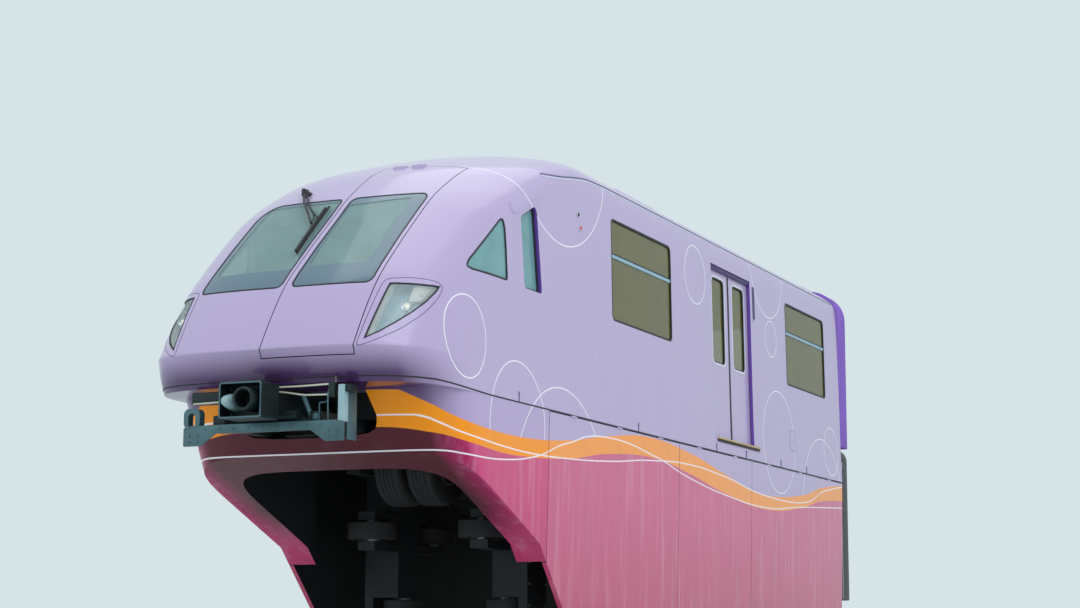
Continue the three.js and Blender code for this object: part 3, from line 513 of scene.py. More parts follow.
def tube(path, radius, steps=12, finish=0, guide=UPRIGHT, section=None):
    """Section carried along an open path. Its frame is the path's direction, the guide crossed with it, and
    the cross product of both."""
    path = np.asarray(path, float)
    ahead = np.gradient(path, axis=0)
    ahead /= np.linalg.norm(ahead, axis=1)[:, None]
    across = np.cross(ahead, np.asarray(guide, float))
    across /= np.linalg.norm(across, axis=1)[:, None]
    up = np.cross(across, ahead)
    shape = circle(0, 0, radius, steps) if section is None else np.asarray(section, float)
    rings = path[:, None] + shape[None, :, :1] * across[:, None] + shape[None, :, 1:] * up[:, None]
    return loft(rings, finish)


def route(points, count=24):
    """Smooth path: a monotone cubic of each coordinate over the chord length."""
    points = np.asarray(points, float)
    chord = np.concatenate(([0], np.cumsum(np.linalg.norm(np.diff(points, axis=0), axis=1))))
    return monotone(chord, points, np.linspace(0, chord[-1], count))


def pipe(points, radius, finish=0, count=20, steps=10, guide=(0.0, 1.0, 0.0)):
    return tube(route(points, count), radius, steps, finish, guide)


def pane(surface, outline, near, far, rows=9, finish=0):
    """Closed sheet under a surface: the outline drawn in to its centre in rows, laid at two depths."""
    centre = outline.mean(0)
    shrink = np.linspace(1, 0, rows + 1)[:-1][:, None, None]
    flat = centre + shrink * (outline - centre)
    size = len(outline)
    front = surface(flat[..., 0], flat[..., 1], near).reshape(-1, 3)
    back = surface(flat[..., 0], flat[..., 1], far).reshape(-1, 3)
    poles = [surface(centre[0], centre[1], depth)[None] for depth in (near, far)]
    total = rows * size
    quads = np.array(grid_quads(rows, size, False, True))
    ring = np.arange(size)
    following = (ring + 1) % size
    rim = np.stack((ring, following, following + total, ring + total), -1)
    last = (rows - 1) * size
    fan_front = np.stack((last + ring, last + following, np.full(size, 2 * total)), -1)
    fan_back = np.stack((total + last + following, total + last + ring, np.full(size, 2 * total + 1)), -1)
    faces = quads.tolist() + (quads[:, ::-1] + total).tolist() + rim[:, ::-1].tolist()
    faces += fan_front.tolist() + fan_back.tolist()
    return Form(np.concatenate((front, back, *poles)), faces, finish)


def band(surface, outer, inner, near, far, rows=4, finish=0):
    """Closed ring under a surface between two outlines that have as many points, laid at two depths."""
    mix = np.linspace(0, 1, rows)[:, None, None]
    flat = outer + mix * (inner - outer)
    front = surface(flat[..., 0], flat[..., 1], near)
    back = surface(flat[..., 0], flat[..., 1], far)[::-1]
    return loft(np.concatenate((front, back)), finish, wrap=True)


def bead(surface, outline, section, depth=0.0, finish=0):
    """Section carried round an outline on a surface. Its first coordinate lies in the surface, across the
    outline, and its second points out of it, along the surface's normal from differences of a millimetre."""
    a, b = outline[:, 0], outline[:, 1]
    small = 0.001
    path = surface(a, b, depth)
    normal = np.cross(
        surface(a + small, b, depth) - surface(a - small, b, depth),
        surface(a, b + small, depth) - surface(a, b - small, depth),
    )
    normal /= np.linalg.norm(normal, axis=1)[:, None]
    outward = surface(a, b, 0.0) - surface(a, b, 0.02)
    normal *= np.sign((normal * outward).sum(1))[:, None]
    ahead = np.roll(path, -1, 0) - np.roll(path, 1, 0)
    across = np.cross(ahead, normal)
    across /= np.linalg.norm(across, axis=1)[:, None]
    section = np.asarray(section, float)
    rings = path[:, None] + section[None, :, :1] * across[:, None] + section[None, :, 1:] * normal[:, None]
    return loft(rings, finish, wrap=True)


def hull(skin, inset=0.0, finish=0, floor=None):
    return loft(skin.rings(inset, floor), finish)


# Meshes and objects.
def mesh_of(name, forms, finishes):
    """One mesh from closed forms, its faces turned outwards and its doubled points merged."""
    points, faces, index = [], [], []
    start = 0
    for form in forms:
        points.append(form.points)
        faces += [[corner + start for corner in face] for face in form.faces]
        index += [form.finish] * len(form.faces)
        start += len(form.points)
    mesh = bpy.data.meshes.new(name)
    mesh.from_pydata((np.concatenate(points) + RAIL).tolist(), [], faces)
    for material in finishes:
        mesh.materials.append(finish_named(material))
    mesh.polygons.foreach_set("material_index", index)
    work = bmesh.new()
    work.from_mesh(mesh)
    bmesh.ops.remove_doubles(work, verts=work.verts, dist=1e-6)
    bmesh.ops.recalc_face_normals(work, faces=work.faces)
    work.to_mesh(mesh)
    work.free()
    return mesh


def placed(name, mesh):
    made = bpy.data.objects.new(name, mesh)
    bpy.context.scene.collection.objects.link(made)
    return made


def settle(made, body, stands_for, sharp):
    made.data.shade_smooth()
    made.data.set_sharp_from_angle(angle=math.radians(sharp))
    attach(made, body)
    if stands_for:
        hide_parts(*stands_for)
    return made


def piece(name, forms, finishes, body="car_body", stands_for=(), sharp=35):
    """A finished piece from closed forms, riding on a body."""
    return settle(placed(name, mesh_of(name, forms, finishes)), body, stands_for, sharp)


def carve(name, forms, finishes, steps):
    """Object from closed forms after a row of cuts and joins, each with forms or an object of its own."""
    base = placed(name, mesh_of(name, forms, finishes))
    helpers = []
    for operation, tool in steps:
        is_object = isinstance(tool, bpy.types.Object)
        helper = tool if is_object else placed("tool", mesh_of("tool", tool, finishes))
        helpers.append(helper)
        modifier = base.modifiers.new(operation, "BOOLEAN")
        modifier.operation = operation
        modifier.solver = "MANIFOLD"
        modifier.object = helper
    graph = bpy.context.evaluated_depsgraph_get()
    result = bpy.data.meshes.new_from_object(base.evaluated_get(graph))
    if not len(result.polygons):
        raise RuntimeError(name + " is empty after its cuts")
    for helper in helpers + [base]:
        bpy.data.objects.remove(helper)
    result.name = name
    return placed(name, result)


def carved(name, forms, finishes, steps, body="car_body", stands_for=(), sharp=30):
    """A finished piece cut and joined from closed forms."""
    return settle(carve(name, forms, finishes, steps), body, stands_for, sharp)


# Finishes.
class Recipe:
    """A material's node tree, with one short call for each kind of node used here."""

    def __init__(self, name):
        self.material = bpy.data.materials.new(name)
        self.material.use_nodes = True
        self.tree = self.material.node_tree
        self.tree.nodes.clear()
        self.shader = self.tree.nodes.new("ShaderNodeBsdfPrincipled")
        output = self.tree.nodes.new("ShaderNodeOutputMaterial")
        self.tree.links.new(self.shader.outputs[0], output.inputs[0])
        self.place = self.tree.nodes.new("ShaderNodeTexCoord").outputs["Object"]

    def feed(self, socket, value):
        if isinstance(value, bpy.types.NodeSocket):
            self.tree.links.new(value, socket)
        else:
            socket.default_value = value

    def math(self, operation, a, b=0.0, c=0.0, clamp=False):
        node = self.tree.nodes.new("ShaderNodeMath")
        node.operation = operation
        node.use_clamp = clamp
        for socket, value in zip(node.inputs, (a, b, c)):
            self.feed(socket, value)
        return node.outputs[0]

    def over(self, value, edge, soft):
        """0 below the edge and 1 above it, rising over the soft width."""
        return self.math("MULTIPLY_ADD", self.math("SUBTRACT", value, edge), 1 / soft, 0.5, clamp=True)

    def mix(self, factor, a, b, blend="MIX"):
        node = self.tree.nodes.new("ShaderNodeMix")
        node.data_type = "RGBA"
        node.blend_type = blend
        self.feed(node.inputs[0], factor)
        self.feed(node.inputs[6], a)
        self.feed(node.inputs[7], b)
        return node.outputs[2]

    def stretched(self, scale):
        node = self.tree.nodes.new("ShaderNodeMapping")
        self.feed(node.inputs["Vector"], self.place)
        node.inputs["Scale"].default_value = scale
        return node.outputs[0]

    def noise(self, scale, detail=3.0, stretch=(1.0, 1.0, 1.0)):
        node = self.tree.nodes.new("ShaderNodeTexNoise")
        self.feed(node.inputs["Vector"], self.stretched(stretch))
        node.inputs["Scale"].default_value = scale
        node.inputs["Detail"].default_value = detail
        return node.outputs[0]

    def bump(self, height, distance, strength=1.0, below=None):
        node = self.tree.nodes.new("ShaderNodeBump")
        node.inputs["Strength"].default_value = strength
        node.inputs["Distance"].default_value = distance
        self.feed(node.inputs["Height"], height)
        if below is not None:
            self.feed(node.inputs["Normal"], below)
        return node.outputs[0]

    def split(self):
        node = self.tree.nodes.new("ShaderNodeSeparateXYZ")
        self.feed(node.inputs[0], self.place)
        return node.outputs

    def curve(self, value, points):
        node = self.tree.nodes.new("ShaderNodeFloatCurve")
        self.feed(node.inputs["Value"], value)
        line = node.mapping.curves[0]
        line.points[0].location = points[0]
        line.points[1].location = points[-1]
        for place in points[1:-1]:
            line.points.new(*place)
        node.mapping.update()
        return node.outputs[0]

    def set(self, **values):
        for name, value in values.items():
            self.feed(self.shader.inputs[name.replace("_", " ")], value)
        return self


def settings():
    return bpy.context.scene.monorail


def worn(name, base, roughness, metal=0.0, grain=60.0, depth=0.0006, spread=0.12, coat=0.0, dark=0.75):
    """A plain finish with fine grain, blotches in its roughness and colour, and a slight bump."""
    mix = Recipe(name)
    blotch = mix.noise(3.0, 5.0)
    fine = mix.noise(grain, 4.0)
    shade = mix.mix(mix.over(blotch, 0.5, 0.5), base, tuple(c * dark for c in base[:3]) + (1.0,))
    mix.set(Base_Color=shade, Metallic=metal, Coat_Weight=coat)
    mix.set(Roughness=mix.math("MULTIPLY_ADD", fine, spread, roughness - spread / 2))
    mix.set(Normal=mix.bump(fine, depth, 0.6))
    return mix.material


def livery_paint(name, coat=0.45, gloss=0.4):
    """Gloss paint: lavender above an orange band between two waves, magenta below it, thin white lines and
    rings. The waves are curves over the length, and a ring is where the distance to its centre is its
    radius."""
    colours = settings().livery
    mix = Recipe(name)
    x, y, z = mix.split()
    across = mix.math("ABSOLUTE", x)
    height = mix.math("SUBTRACT", z, float(RAIL[2]))
    run = mix.math("MULTIPLY_ADD", y, 1 / WAVE_LENGTH, 1 - float(RAIL[1]) / WAVE_LENGTH)
    waves = [named(WAVE_COLUMNS, row) for row in WAVES]
    edge = {
        column: mix.curve(run, [((w["y"] + WAVE_LENGTH) / WAVE_LENGTH, w[column]) for w in waves])
        for column in WAVE_COLUMNS[1:]
    }
    above_bottom = mix.over(height, edge["bottom"], 0.004)
    above_top = mix.over(height, edge["top"], 0.004)
    # Painted shade: the magenta darkens towards the skirts' lower edge.
    lower = mix.mix(mix.over(height, -0.35, 1.1), tuple(colours.magenta_low_shade), tuple(colours.magenta))
    front = mix.over(y, -10.4 + float(RAIL[1]), -0.6)
    # Painted shade: a deeper magenta where the valance turns from the side to the front, fading out behind
    # the nose.
    corner = mix.math("MULTIPLY", mix.over(across, 1.325, -0.03), front)
    lower = mix.mix(corner, lower, tuple(colours.corner))
    # Painted shade: dark maroon on the valance's front face, fading out behind the nose.
    front_shade = mix.math("MULTIPLY", mix.over(across, 1.2, -0.22), front)
    lower = mix.mix(front_shade, lower, tuple(colours.maroon_front_shade))
    # Painted shade: the lavender on the nose's front darkens to the undershade colour towards the lip under
    # it.
    lip = mix.math("MULTIPLY", mix.over(height, 1.02, -0.24), mix.over(across, 1.28, -0.3))
    lip = mix.math("MULTIPLY", lip, mix.over(y, -11.7 + float(RAIL[1]), -0.5))
    body = mix.mix(lip, tuple(colours.lavender), tuple(colours.undershade))
    paint = mix.mix(above_bottom, lower, tuple(colours.orange))
    paint = mix.mix(above_top, paint, body)
    half_line = colours.line_width / 2
    lines = None
    for column in ("line_a", "line_b"):
        away = mix.math("ABSOLUTE", mix.math("SUBTRACT", height, edge[column]))
        line = mix.over(away, half_line, -0.003)
        lines = line if lines is None else mix.math("MAXIMUM", lines, line)
    circles = None
    flat = mix.tree.nodes.new("ShaderNodeCombineXYZ")
    mix.feed(flat.inputs[1], y)
    mix.feed(flat.inputs[2], z)
    for row in RINGS:
        ring = named(RING_COLUMNS, row)
        distance = mix.tree.nodes.new("ShaderNodeVectorMath")
        distance.operation = "DISTANCE"
        mix.feed(distance.inputs[0], flat.outputs[0])
        distance.inputs[1].default_value = (0.0, ring["y"] + RAIL[1], ring["z"] + RAIL[2])
        away = mix.math("ABSOLUTE", mix.math("SUBTRACT", distance.outputs["Value"], ring["radius"]))
        mask = mix.math(
            "MULTIPLY", mix.over(away, half_line * 0.9, -0.003), mix.over(across, ring["inner"], 0.01)
        )
        circles = mask if circles is None else mix.math("MAXIMUM", circles, mask)
    lines = mix.math("MAXIMUM", lines, mix.math("MULTIPLY", circles, above_top))
    paint = mix.mix(mix.math("MULTIPLY", lines, 0.9), paint, tuple(colours.line_colour))
    streak = mix.noise(5.0, 5.0, (1.0, 1.0, 0.14))
    grime = mix.math("MULTIPLY", mix.over(streak, 0.62, 0.25), mix.over(height, 0.6, -1.8))
    paint = mix.mix(mix.math("MULTIPLY", grime, 0.16), paint, tint(120, 105, 110))
    # Lighter pink streaks below the band, kept off the valance's front: partly dirt runs, partly painted
    # reflection.
    dirt_and_reflection_streaks = mix.over(mix.noise(9.0, 3.0, (1.0, 1.0, 0.09)), 0.6, 0.16)
    dirt_and_reflection_streaks = mix.math("MULTIPLY", dirt_and_reflection_streaks, mix.math("SUBTRACT", 1.0, mix.math("MAXIMUM", above_bottom, front_shade)))
    paint = mix.mix(mix.math("MULTIPLY", dirt_and_reflection_streaks, 0.15), paint, tint(236, 190, 206))
    rough = mix.math("MULTIPLY_ADD", streak, 0.12, colours.roughness - 0.05)
    peel = mix.bump(mix.noise(260.0, 2.0), 0.0003, 0.25)
    sway = mix.bump(mix.noise(1.7, 1.0, (1.0, 0.8, 1.2)), 0.012, 0.35, peel)
    mix.set(Base_Color=paint, Roughness=rough, Normal=sway, Coat_Weight=coat, Coat_Roughness=0.06)
    mix.set(Specular_IOR_Level=gloss)
    return mix.material


def glass(name, base, alpha):
    """Tinted pane: a see-through gloss surface, slightly uneven, with a faint film of dust."""
    mix = Recipe(name)
    dust = mix.noise(4.0, 5.0)
    shade = mix.mix(mix.over(dust, 0.55, 0.5), base, tuple(min(1.0, c * 1.18) for c in base[:3]) + (1.0,))
    mix.set(Base_Color=shade, Alpha=mix.math("MULTIPLY_ADD", dust, 0.08, alpha - 0.04))
    mix.set(Roughness=mix.math("MULTIPLY_ADD", dust, 0.04, 0.03), Specular_IOR_Level=0.7)
    mix.set(Normal=mix.bump(mix.noise(1.1, 1.0), 0.004, 0.3))
    mix.material.surface_render_method = "BLENDED"
    return mix.material


def tinted(name, colour_setting, cover_setting):
    glazing = settings().glazing
    return glass(name, tuple(getattr(glazing, colour_setting)), getattr(glazing, cover_setting))


def fabric(name, base, weave=900.0):
    """Coated cloth: crossed threads as the product of two waves, blotches and soft sheen."""
    mix = Recipe(name)
    threads = []
    for direction in ("X", "Z"):
        wave = mix.tree.nodes.new("ShaderNodeTexWave")
        wave.bands_direction = direction
        wave.inputs["Scale"].default_value = weave / 6.283
        mix.feed(wave.inputs["Vector"], mix.place)
        threads.append(wave.outputs[1])
    cloth = mix.math("MULTIPLY", *threads)
    blotch = mix.noise(6.0, 5.0, (1.0, 1.0, 0.35))
    shade = mix.mix(mix.over(blotch, 0.5, 0.6), tuple(c * 0.72 for c in base[:3]) + (1.0,), base)
    mix.set(Base_Color=shade, Roughness=mix.math("MULTIPLY_ADD", blotch, 0.2, 0.5))
    mix.set(Normal=mix.bump(cloth, 0.0006, 0.4), Sheen_Weight=0.25)
    return mix.material


def glowing(name, base, strength):
    mix = Recipe(name)
    cells = mix.noise(90.0, 2.0)
    mix.set(Base_Color=base, Roughness=mix.math("MULTIPLY_ADD", cells, 0.2, 0.12))
    mix.set(Emission_Color=base, Emission_Strength=strength, Normal=mix.bump(cells, 0.001, 0.4))
    return mix.material


# Finishes with a recipe of their own.
RECIPES = {
    "livery_paint": livery_paint,
    "valance_paint": lambda name: livery_paint(name, 0.12, 0.25),
    "saloon_glass": lambda name: tinted(name, "saloon_tint", "saloon_cover"),
    "screen_glass": lambda name: tinted(name, "screen_tint", "screen_cover"),
    "cab_glass": lambda name: glass(name, tint(132, 184, 188), 0.55),
    "lamp_glass": lambda name: glass(name, tint(205, 222, 226), 0.22),
    "lamp_bulb": lambda name: glowing(name, tint(255, 244, 214), 0.6),
    "marker_red": lambda name: glowing(name, tint(190, 26, 34), 0.15),
    "bellows_cloth": lambda name: fabric(name, tint(146, 104, 206)),
}


# Screen colour, roughness and what else differs from a plain worn finish.
WORN_FINISHES = {
    "cabin_trim": ((150, 158, 158), 0.5, dict()),
    "jamb_purple": ((112, 66, 178), 0.2, dict(coat=0.6, spread=0.08)),
    "screen_frit": ((86, 112, 130), 0.16, dict(coat=0.4, spread=0.06, dark=0.9)),
    "gasket_rubber": ((28, 30, 36), 0.55, dict(grain=220.0)),
    "frame_aluminium": ((198, 205, 214), 0.35, dict(metal=0.7, grain=140.0, dark=0.88)),
    "window_bar": ((150, 186, 206), 0.35, dict(metal=0.3, grain=140.0, dark=0.9)),
    "header_dark": ((58, 30, 104), 0.45, dict()),
    "sill_sand": ((206, 176, 128), 0.5, dict(dark=0.8)),
    "sill_dark": ((46, 34, 38), 0.6, dict()),
    "gutter_slate": ((96, 98, 134), 0.4, dict()),
    "seam_dark": ((22, 20, 34), 0.7, dict()),
    # Near-black walls of the recess round the coupler: painted shade.
    "recess_black": ((12, 20, 20), 0.75, dict(grain=40.0)),
    # Pale trim round the leaves' windows, and the painted highlight under the roof's gutters.
    "gutter_light": ((222, 224, 240), 0.3, dict(coat=0.5, dark=0.92)),
    "lamp_sand": ((206, 196, 186), 0.3, dict(coat=0.4, dark=0.9)),
    "lamp_slate": ((120, 146, 160), 0.22, dict(metal=0.5, dark=0.8)),
    "lamp_chrome": ((225, 228, 232), 0.12, dict(metal=1.0, spread=0.06, dark=0.92)),
    "gear_steel": ((82, 116, 124), 0.42, dict(metal=0.35, grain=45.0, depth=0.001, dark=0.5)),
    "gear_light": ((160, 192, 200), 0.4, dict(grain=45.0, dark=0.7)),
    "gear_dark": ((24, 42, 44), 0.5, dict(metal=0.35, grain=45.0, depth=0.001, dark=0.5)),
    "pipe_cream": ((206, 204, 188), 0.4, dict(dark=0.7)),
    "chassis_black": ((34, 38, 42), 0.6, dict(metal=0.2, grain=38.0, depth=0.001, dark=0.6)),
    "bolt_zinc": ((150, 152, 150), 0.35, dict(metal=0.9, dark=0.6)),
    "tyre_rubber": ((34, 34, 36), 0.8, dict(grain=90.0, dark=1.5)),
    "rim_grey": ((150, 154, 158), 0.4, dict(metal=0.6, dark=0.6)),
    "apron_rubber": ((18, 26, 28), 0.45, dict(grain=120.0)),
    "seat_shell": ((92, 74, 150), 0.4, dict(grain=160.0)),
    "desk_dark": ((58, 62, 70), 0.6, dict(grain=200.0)),
    "grab_steel": ((216, 200, 90), 0.3, dict(spread=0.06, coat=0.3)),
    "studio_floor": ((226, 230, 230), 0.6, dict(grain=8.0, spread=0.06, dark=0.97)),
}


def finish_named(name):
    made = bpy.data.materials.get(name)
    if made:
        return made
    if name in RECIPES:
        return RECIPES[name](name)
    shade, roughness, extras = WORN_FINISHES[name]
    return worn(name, tint(*shade), roughness, **extras)


SHELL_FINISHES = ("livery_paint", "cabin_trim", "jamb_purple", "seam_dark")


# Shapes shared by several operators.
def everywhere(x=(-FAR, FAR), y=(-FAR, FAR), z=(-FAR, FAR), finish=0):
    return box(*x, *y, *z, finish)


def span(sign, inner, outer):
    """Two distances from the middle on one side, the smaller x first."""
    return sorted((sign * inner, sign * outer))


def half_space(side):
    return {"left": (0.0, FAR), "right": (-FAR, 0.0)}[side]


def layer(name, skin, outer, inner, limits, finishes=SHELL_FINISHES):
    """Sheet between two insets of a skin, cut down to a box, as a helper object."""
    steps = [("DIFFERENCE", [hull(skin, inner, 1)]), ("INTERSECT", [everywhere(**limits)])]
    return carve(name, [hull(skin, outer)], finishes, steps)


def window_outline(which):
    return rounded(*WINDOWS[which], *WINDOW_Z, WINDOW_RADIUS)


def screen_outline(which):
    return rounded(*SCREENS[which]["box"], SCREENS[which]["corners"])


def headlight_outline(side):
    return np.array(HEADLIGHT) if side == "left" else mirrored(HEADLIGHT)


def leaf_span(end):
    middle = sum(DOOR_Y) / 2
    if end == "front":
        return DOOR_Y[0] - MOVE_GAP, middle - LEAF_GAP / 2
    return middle + LEAF_GAP / 2, DOOR_Y[1] + MOVE_GAP


def barrel_spans(front, rear):
    count = round((rear - front) / BARREL_PITCH)
    step = (rear - front) / count
    middles = [front + (i + 0.5) * step for i in range(count)]
    return [(middle - BARREL_HALF, middle + BARREL_HALF) for middle in middles]


def below_slant(finish=0):
    """Everything under the climbing lower edge of the nose, as a prism across the car."""
    foot = [(SLANT[-1][0], -FAR), (SLANT[0][0], -FAR)]
    return prism("x", np.array([*SLANT, *foot])[::-1], -FAR, FAR, finish)


def bolt_heads(places, axis, radius=0.011, height=0.008, finish=0):
    """Rounded hexagon heads at the given points, each standing up along the axis."""
    profile = ((radius * 0.2, -height), (radius, -height), (radius, height * 0.6), (radius * 0.75, height))
    return [turned(axis, profile, place, 6, finish) for place in places]


def flat_ring(section_width, section_height, edge=0.002):
    half = section_width / 2
    return rounded(-half, half, -section_height, section_height, edge, 2)


def gasket(name, surface, outline, width, height, depth, spacing, body="car_body", inset=None):
    """Rubber bead round an opening: its middle lies half its width inside the outline, or at the inset."""
    run = refined(inset_outline(outline, width / 2 if inset is None else inset), spacing)
    piece(
        name, [bead(surface, run, flat_ring(width, height), depth)], ("gasket_rubber",), body
    )


# Settings.
def colour(name, description, default):
    """Colour setting, its default given as a screen colour."""
    return FloatVectorProperty(
        name=name, description=description, subtype="COLOR", size=4, min=0, max=1, default=tint(*default)
    )


def share(name, description, default):
    return FloatProperty(name=name, description=description, subtype="FACTOR", min=0, max=1, default=default)


def length(name, description, default):
    return FloatProperty(name=name, description=description, unit="LENGTH", min=0.002, default=default)


class MONORAIL_PG_livery(bpy.types.PropertyGroup):
    lavender: colour("Lavender", "Paint above the wave", (184, 164, 204))
    # Painted shade on the lip under the nose.
    undershade: colour("Undershade", "Paint on the lip under the nose", (72, 40, 92))
    orange: colour("Orange", "Paint of the wave band", (255, 150, 0))
    magenta: colour("Magenta", "Paint below the wave", (208, 72, 124))
    # Painted shade: the colour the magenta darkens to towards the skirts' lower edge.
    magenta_low_shade: colour("Low magenta", "Paint towards the skirts' lower edge", (196, 48, 104))
    # Painted shade on the valance's front face.
    maroon_front_shade: colour("Maroon", "Paint on the valance under the nose", (84, 14, 34))
    # Painted shade where the valance turns from the side to the front.
    corner: colour("Corner", "Paint where the valance turns from the side to the front", (168, 18, 90))
    line_colour: colour("Line colour", "Thin lines and rings", (250, 244, 250))
    line_width: length("Line width", "Width of the thin lines", 0.0125)
    roughness: share("Roughness", "Roughness of the paint", 0.28)


class MONORAIL_PG_glazing(bpy.types.PropertyGroup):
    saloon_tint: colour("Saloon tint", "Colour of the side windows and the leaves' panes", (104, 98, 44))
    saloon_cover: share("Saloon cover", "How much the side glass hides", 0.74)
    screen_tint: colour("Windscreen tint", "Colour of the windscreens", (140, 172, 172))
    screen_cover: share("Windscreen cover", "How much the windscreens hide", 0.5)
    gasket: length("Gasket width", "Width of the window gaskets", 0.022)


class MONORAIL_PG_stage(bpy.types.PropertyGroup):
    lens: FloatProperty(name="Lens", description="Focal length", default=68.294, min=10, unit="CAMERA")
    sky: FloatProperty(name="Sky", description="Strength of the pale surroundings", default=1.0, min=0)
    key: FloatProperty(
        name="Key light", description="Power of the large soft light", default=1100.0, min=0, unit="POWER"
    )
    floor_size: length("Floor size", "Side of the floor", 260.0)


class MONORAIL_PG_all(bpy.types.PropertyGroup):
    livery: PointerProperty(type=MONORAIL_PG_livery)
    glazing: PointerProperty(type=MONORAIL_PG_glazing)
    stage: PointerProperty(type=MONORAIL_PG_stage)


class MONORAIL_OT_side_walls(bpy.types.Operator):
    """Side walls with their window holes, door opening, leaf pockets and sills"""

    bl_idname = "monorail.side_walls"
    bl_label = "Side walls"

    def execute(self, context):
        travel = (DOOR_Y[1] - DOOR_Y[0]) / 2
        pocket_y = (DOOR_Y[0] - travel - 2 * MOVE_GAP, DOOR_Y[1] + travel + 2 * MOVE_GAP)
        pocket_z = (FLOOR_Z, DOOR_TOP_Z + 2 * MOVE_GAP)
        for side, (sign, surface) in SIDES.items():
            outside = span(sign, 1.0, FAR)
            limits = {"x": outside, "y": (NOSE_SEAM_Y + SEAT_GAP, REAR_Y - SHELL), "z": (BELT_Z, EAVE_Z)}
            pocket_limits = {"x": outside, "y": pocket_y, "z": pocket_z}
            pocket = layer("pocket", UPPER, POCKET_SKIN, LEAF_DEPTH[1] + MOVE_GAP, pocket_limits)
            windows = [prism("x", window_outline(which), *outside) for which in WINDOWS]
            grooves = [
                turned(
                    "y",
                    ((BARREL_R + 0.001, low - 0.002), (BARREL_R + 0.001, high + 0.002)),
                    (sign * SKIRT_AXIS[0], 0, SKIRT_AXIS[1]),
                    24,
                )
                for front, rear in zip(SKIRT_SEAMS[:-1], SKIRT_SEAMS[1:])
                for low, high in barrel_spans(front, rear)
            ]
            steps = [
                ("DIFFERENCE", [hull(UPPER, WALL, 1)]),
                ("INTERSECT", [everywhere(**limits)]),
                ("DIFFERENCE", pocket),
                ("DIFFERENCE", [box(*outside, *DOOR_Y, FLOOR_Z, DOOR_TOP_Z, 2)]),
                ("DIFFERENCE", windows),
                ("DIFFERENCE", grooves),
            ]
            node = ("side_wall_" + side,)
            carved("wall_skin_" + side, [hull(UPPER)], SHELL_FINISHES, steps, stands_for=node)
            self.sill(side, sign)
            self.header(side, surface)
        return {"FINISHED"}

    def sill(self, side, sign):
        """Ledge under the leaves: a sand strip on a dark underside."""
        (front, rear), inner = SILL["y"], SILL["inner"]
        top = block(*span(sign, inner, SILL["outer"]), front, rear, SILL["middle"], SILL["top"], 0.004, 0)
        below = span(sign, inner, SILL["outer"] - 0.008)
        under = block(*below, front + 0.01, rear - 0.01, SILL["bottom"], SILL["middle"] - 0.001, 0.004, 1)
        piece("sill_" + side, [top, under], ("sill_sand", "sill_dark"))

    def header(self, side, surface):
        """Dark strip over the leaves, with a rounded rear end."""
        outline = refined(rounded(DOOR_Y[0] + 0.004, DOOR_Y[1] - 0.004, 2.905, 2.953, 0.018), 0.05)
        piece(
            "door_header_" + side, [pane(surface, outline, 0.012, 0.034, 3)], ("header_dark",)
        )


class MONORAIL_OT_roof(bpy.types.Operator):
    """Roof with its two equipment covers and the gutters along both eaves"""

    bl_idname = "monorail.roof"
    bl_label = "Roof"

    def execute(self, context):
        limits = {"y": (NOSE_SEAM_Y + SEAT_GAP, REAR_Y - SHELL), "z": (EAVE_Z + SEAT_GAP, FAR)}
        section = softened(COVER_SECTION, 0.05)
        covers = carve(
            "covers",
            [plate("y", section, *ends, COVER_EDGE) for ends in (COVERS[0], (COVERS[1][0], REAR_Y + 0.1))],
            SHELL_FINISHES,
            [("DIFFERENCE", [hull(UPPER, SHELL / 2)])],
        )
        steps = [
            ("DIFFERENCE", [hull(UPPER, SHELL, 1)]),
            ("UNION", covers),
            ("INTERSECT", [everywhere(**limits)]),
        ]
        carved("roof_skin", [hull(UPPER)], SHELL_FINISHES, steps, stands_for=("roof",))
        line = (
            (-9.86, 3.03), (-9.52, 3.07), (-9.14, 3.138), (-8.75, 3.19), (-8.2, 3.205), (-7.4, 3.208),
            (-0.46, 3.208),
        )
        path = route([(y, z, 0.0) for y, z in line], 90)[:, :2]
        for side, (sign, surface) in SIDES.items():
            # The pale tube 20 mm under each gutter is a painted highlight along the eave.
            for part, drop, radius, finish in (
                ("gutter", 0.0, 0.007, "gutter_slate"), ("drip", 0.02, 0.006, "gutter_light")
            ):
                run = surface(path[:, 0], path[:, 1] - drop, 0.0)
                piece(f"{part}_{side}", [tube(run, radius, 10)], (finish,))
        return {"FINISHED"}


